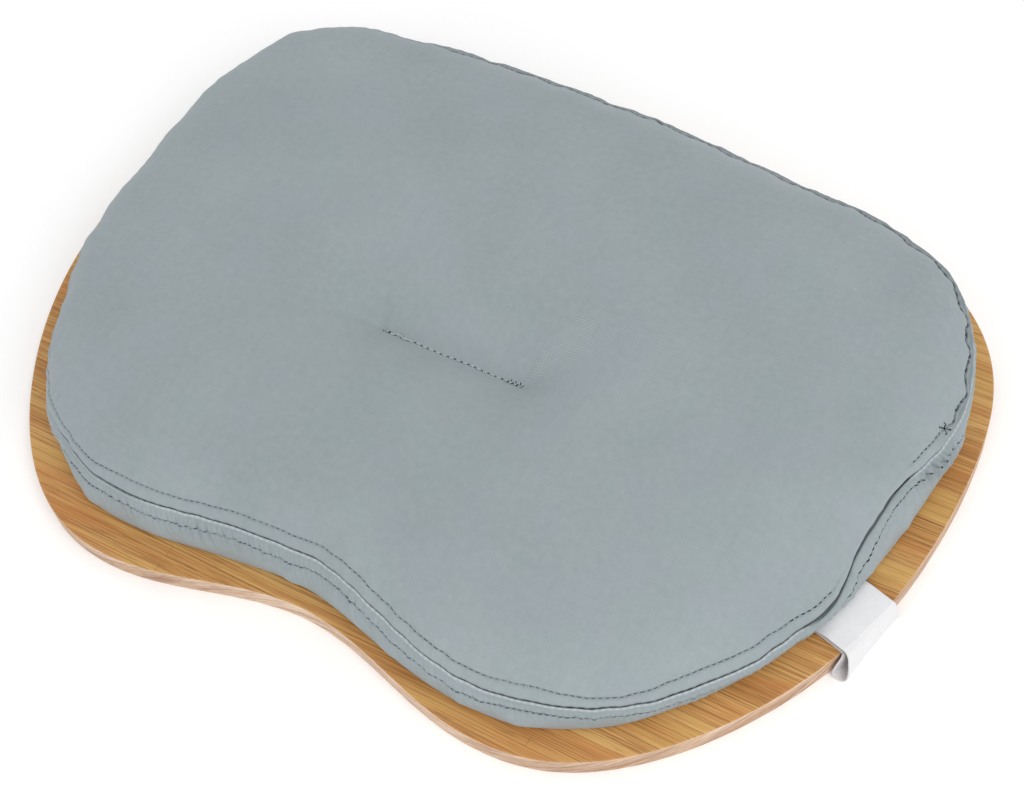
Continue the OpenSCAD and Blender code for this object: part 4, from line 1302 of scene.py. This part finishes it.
# ---------------------------------------------------------------- the carry strap
def strap():
    """One folded length of tape, clamped at both ends under the cushion."""
    o_z, i_z, s = 11.6, 10.7, 5.6
    line = [(-38, 8.0), (-30, 8.0), (-23, 8.05), (-19.5, 9.2), (-16, 10.9), (-12.8, 11.55), (-9, o_z), (-5, o_z), (-1.3, o_z), (0.56, o_z + 0.02),
            (2.5, o_z - 0.8), (4.1, o_z - 2.9), (5.1, o_z - 5.6), (5.5, o_z - 8.0), (5.1, 2.1), (3.7, 0.75), (2.2, 1.1), (1.35, 2.4), (1.14, 4.6),
            (1.12, 7.6), (1.05, 9.2), (0.72, 10.3), (0.0, i_z), (-1.3, i_z), (-5, i_z), (-9, i_z), (-12.6, 10.55), (-16, 9.5), (-19.5, 7.9), (-23, 7.2), (-30, 7.2), (-38, 7.2)]
    c = rounded(np.array([(u, z, 0) for u, z in line]), 6)[:, :2]
    run = np.concatenate([[0], np.cumsum(np.linalg.norm(np.diff(c, axis=0), axis=1))])
    count = 190
    sample = np.linspace(0, run[-1], count)
    c = np.column_stack([np.interp(sample, run, c[:, 0]), np.interp(sample, run, c[:, 1])])
    t = np.gradient(c, axis=0)
    t /= np.linalg.norm(t, axis=1)[:, None]
    nrm = np.column_stack([-t[:, 1], t[:, 0]])
    half, ht = 16.5, 0.4
    RIM_OUT = sample[np.abs(c[:count // 2] - [0.56, o_z]).sum(1).argmin()]
    RIM_IN_S = sample[count // 2 + np.abs(c[count // 2:] - [0.0, i_z]).sum(1).argmin()]
    vs = np.linspace(-1, 1, 29)
    v_top = vs * (half - 0.35)
    arc = np.radians([60, 20, -20, -60])
    section = [(v, ht) for v in v_top]
    section += [(half - 0.35 + 0.35 * math.cos(a), ht * math.sin(a)) for a in arc]
    section += [(v, -ht) for v in v_top[::-1]]
    section += [(-half + 0.35 - 0.35 * math.cos(a), -ht * math.sin(a)) for a in arc]
    sec = np.array(section)
    rings, weave, inside = [], [], []
    for k in range(count):
        u0, z0 = c[k]
        v, h = sec[:, 0], sec[:, 1]
        near = np.clip(-v / half, 0, 1)
        on_top = smooth(np.array([u0]), -15, -8)[0] * (1 - smooth(np.array([u0]), 2.5, 5.3)[0]) * (1 if z0 > 9.0 and k < count / 2 else 0)
        lift = 1.7 * on_top * near ** 2.4
        # the near corner of the loop curls out along the rim
        t = np.clip((sample[k] - RIM_OUT) / (RIM_IN_S - RIM_OUT), 0, 1)
        curl = math.sin(math.pi * t ** 1.55)
        flare_v = -6.6 * curl * near ** 3.2
        far = (v / half + 1) / 2
        shrink = 1 - 0.48 * far if u0 > 0.6 else 1.0
        u = 0.6 + (u0 - 0.6) * shrink + nrm[k, 0] * h if u0 > 0.6 else u0 + nrm[k, 0] * h
        u = u + curl * near ** 2.2 * (1.7 if t < 0.45 else 1.7 * (1 - smooth(np.array([t]), 0.45, 0.62)[0]))
        u = u - 0.11 * np.clip(-(v + flare_v) - 16.5, 0, 20) * smooth(np.array([t]), 0.5, 0.7)[0]
        z = z0 + nrm[k, 1] * h + lift
        z = np.maximum(z, 0.25)
        rings.append(from_strap(u, v + flare_v, z))
        weave.append(np.column_stack([np.full(len(sec), sample[k] * MM), v * MM, np.zeros(len(sec))]))
        # Painted shade weights: the outer face where it turns down over the rim, the tape's edges, and its underside
        # and inner faces.
        fall = (0.30 if 0.02 < t < 0.45 else 0.0)
        side = (np.abs(v) > half - 0.2) & (np.abs(h) < 0.39)
        inside.append(np.where(h < -0.2, 1.0, np.where(side, 0.9, fall)))
    pts, faces = stack(rings, cap_first=True, cap_last=True)
    o = make("carry_strap_tape", pts, faces, [MAT["elastic"]], {"weave": np.vstack(weave), "inside": np.concatenate(inside)})
    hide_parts("strap_fixed_ends", "strap_loop")
    a = from_strap(-13, 0, 11) * MM
    b = from_strap(-0.2, 0, 11) * MM
    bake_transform(o)
    return o


# ---------------------------------------------------------------- CAD nodes that stay, with their finish
def keep(name, material):
    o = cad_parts[name]
    o.data.materials.clear()
    o.data.materials.append(MAT[material])


cushion_top()
cushion_band()
cushion_base()
topstitches()
tuft_row()
ties()
filling()
strap()
keep("strap_clamp_plate", "zinc")
keep("clamp_screws", "zinc")
keep("hook_tapes", "hooks")
keep("loop_tapes", "loops")
keep("loop_tape_thread", "thread")

# ---------------------------------------------------------------- floor
me = bpy.data.meshes.new("floor")
me.from_pydata([(-4, -4, 0), (4, -4, 0), (4, 4, 0), (-4, 4, 0)], [], [(0, 1, 2, 3)])
me.materials.append(MAT["floor"])
ground = bpy.data.objects.new("floor", me)
scene.collection.objects.link(ground)

bpy.context.view_layer.update()
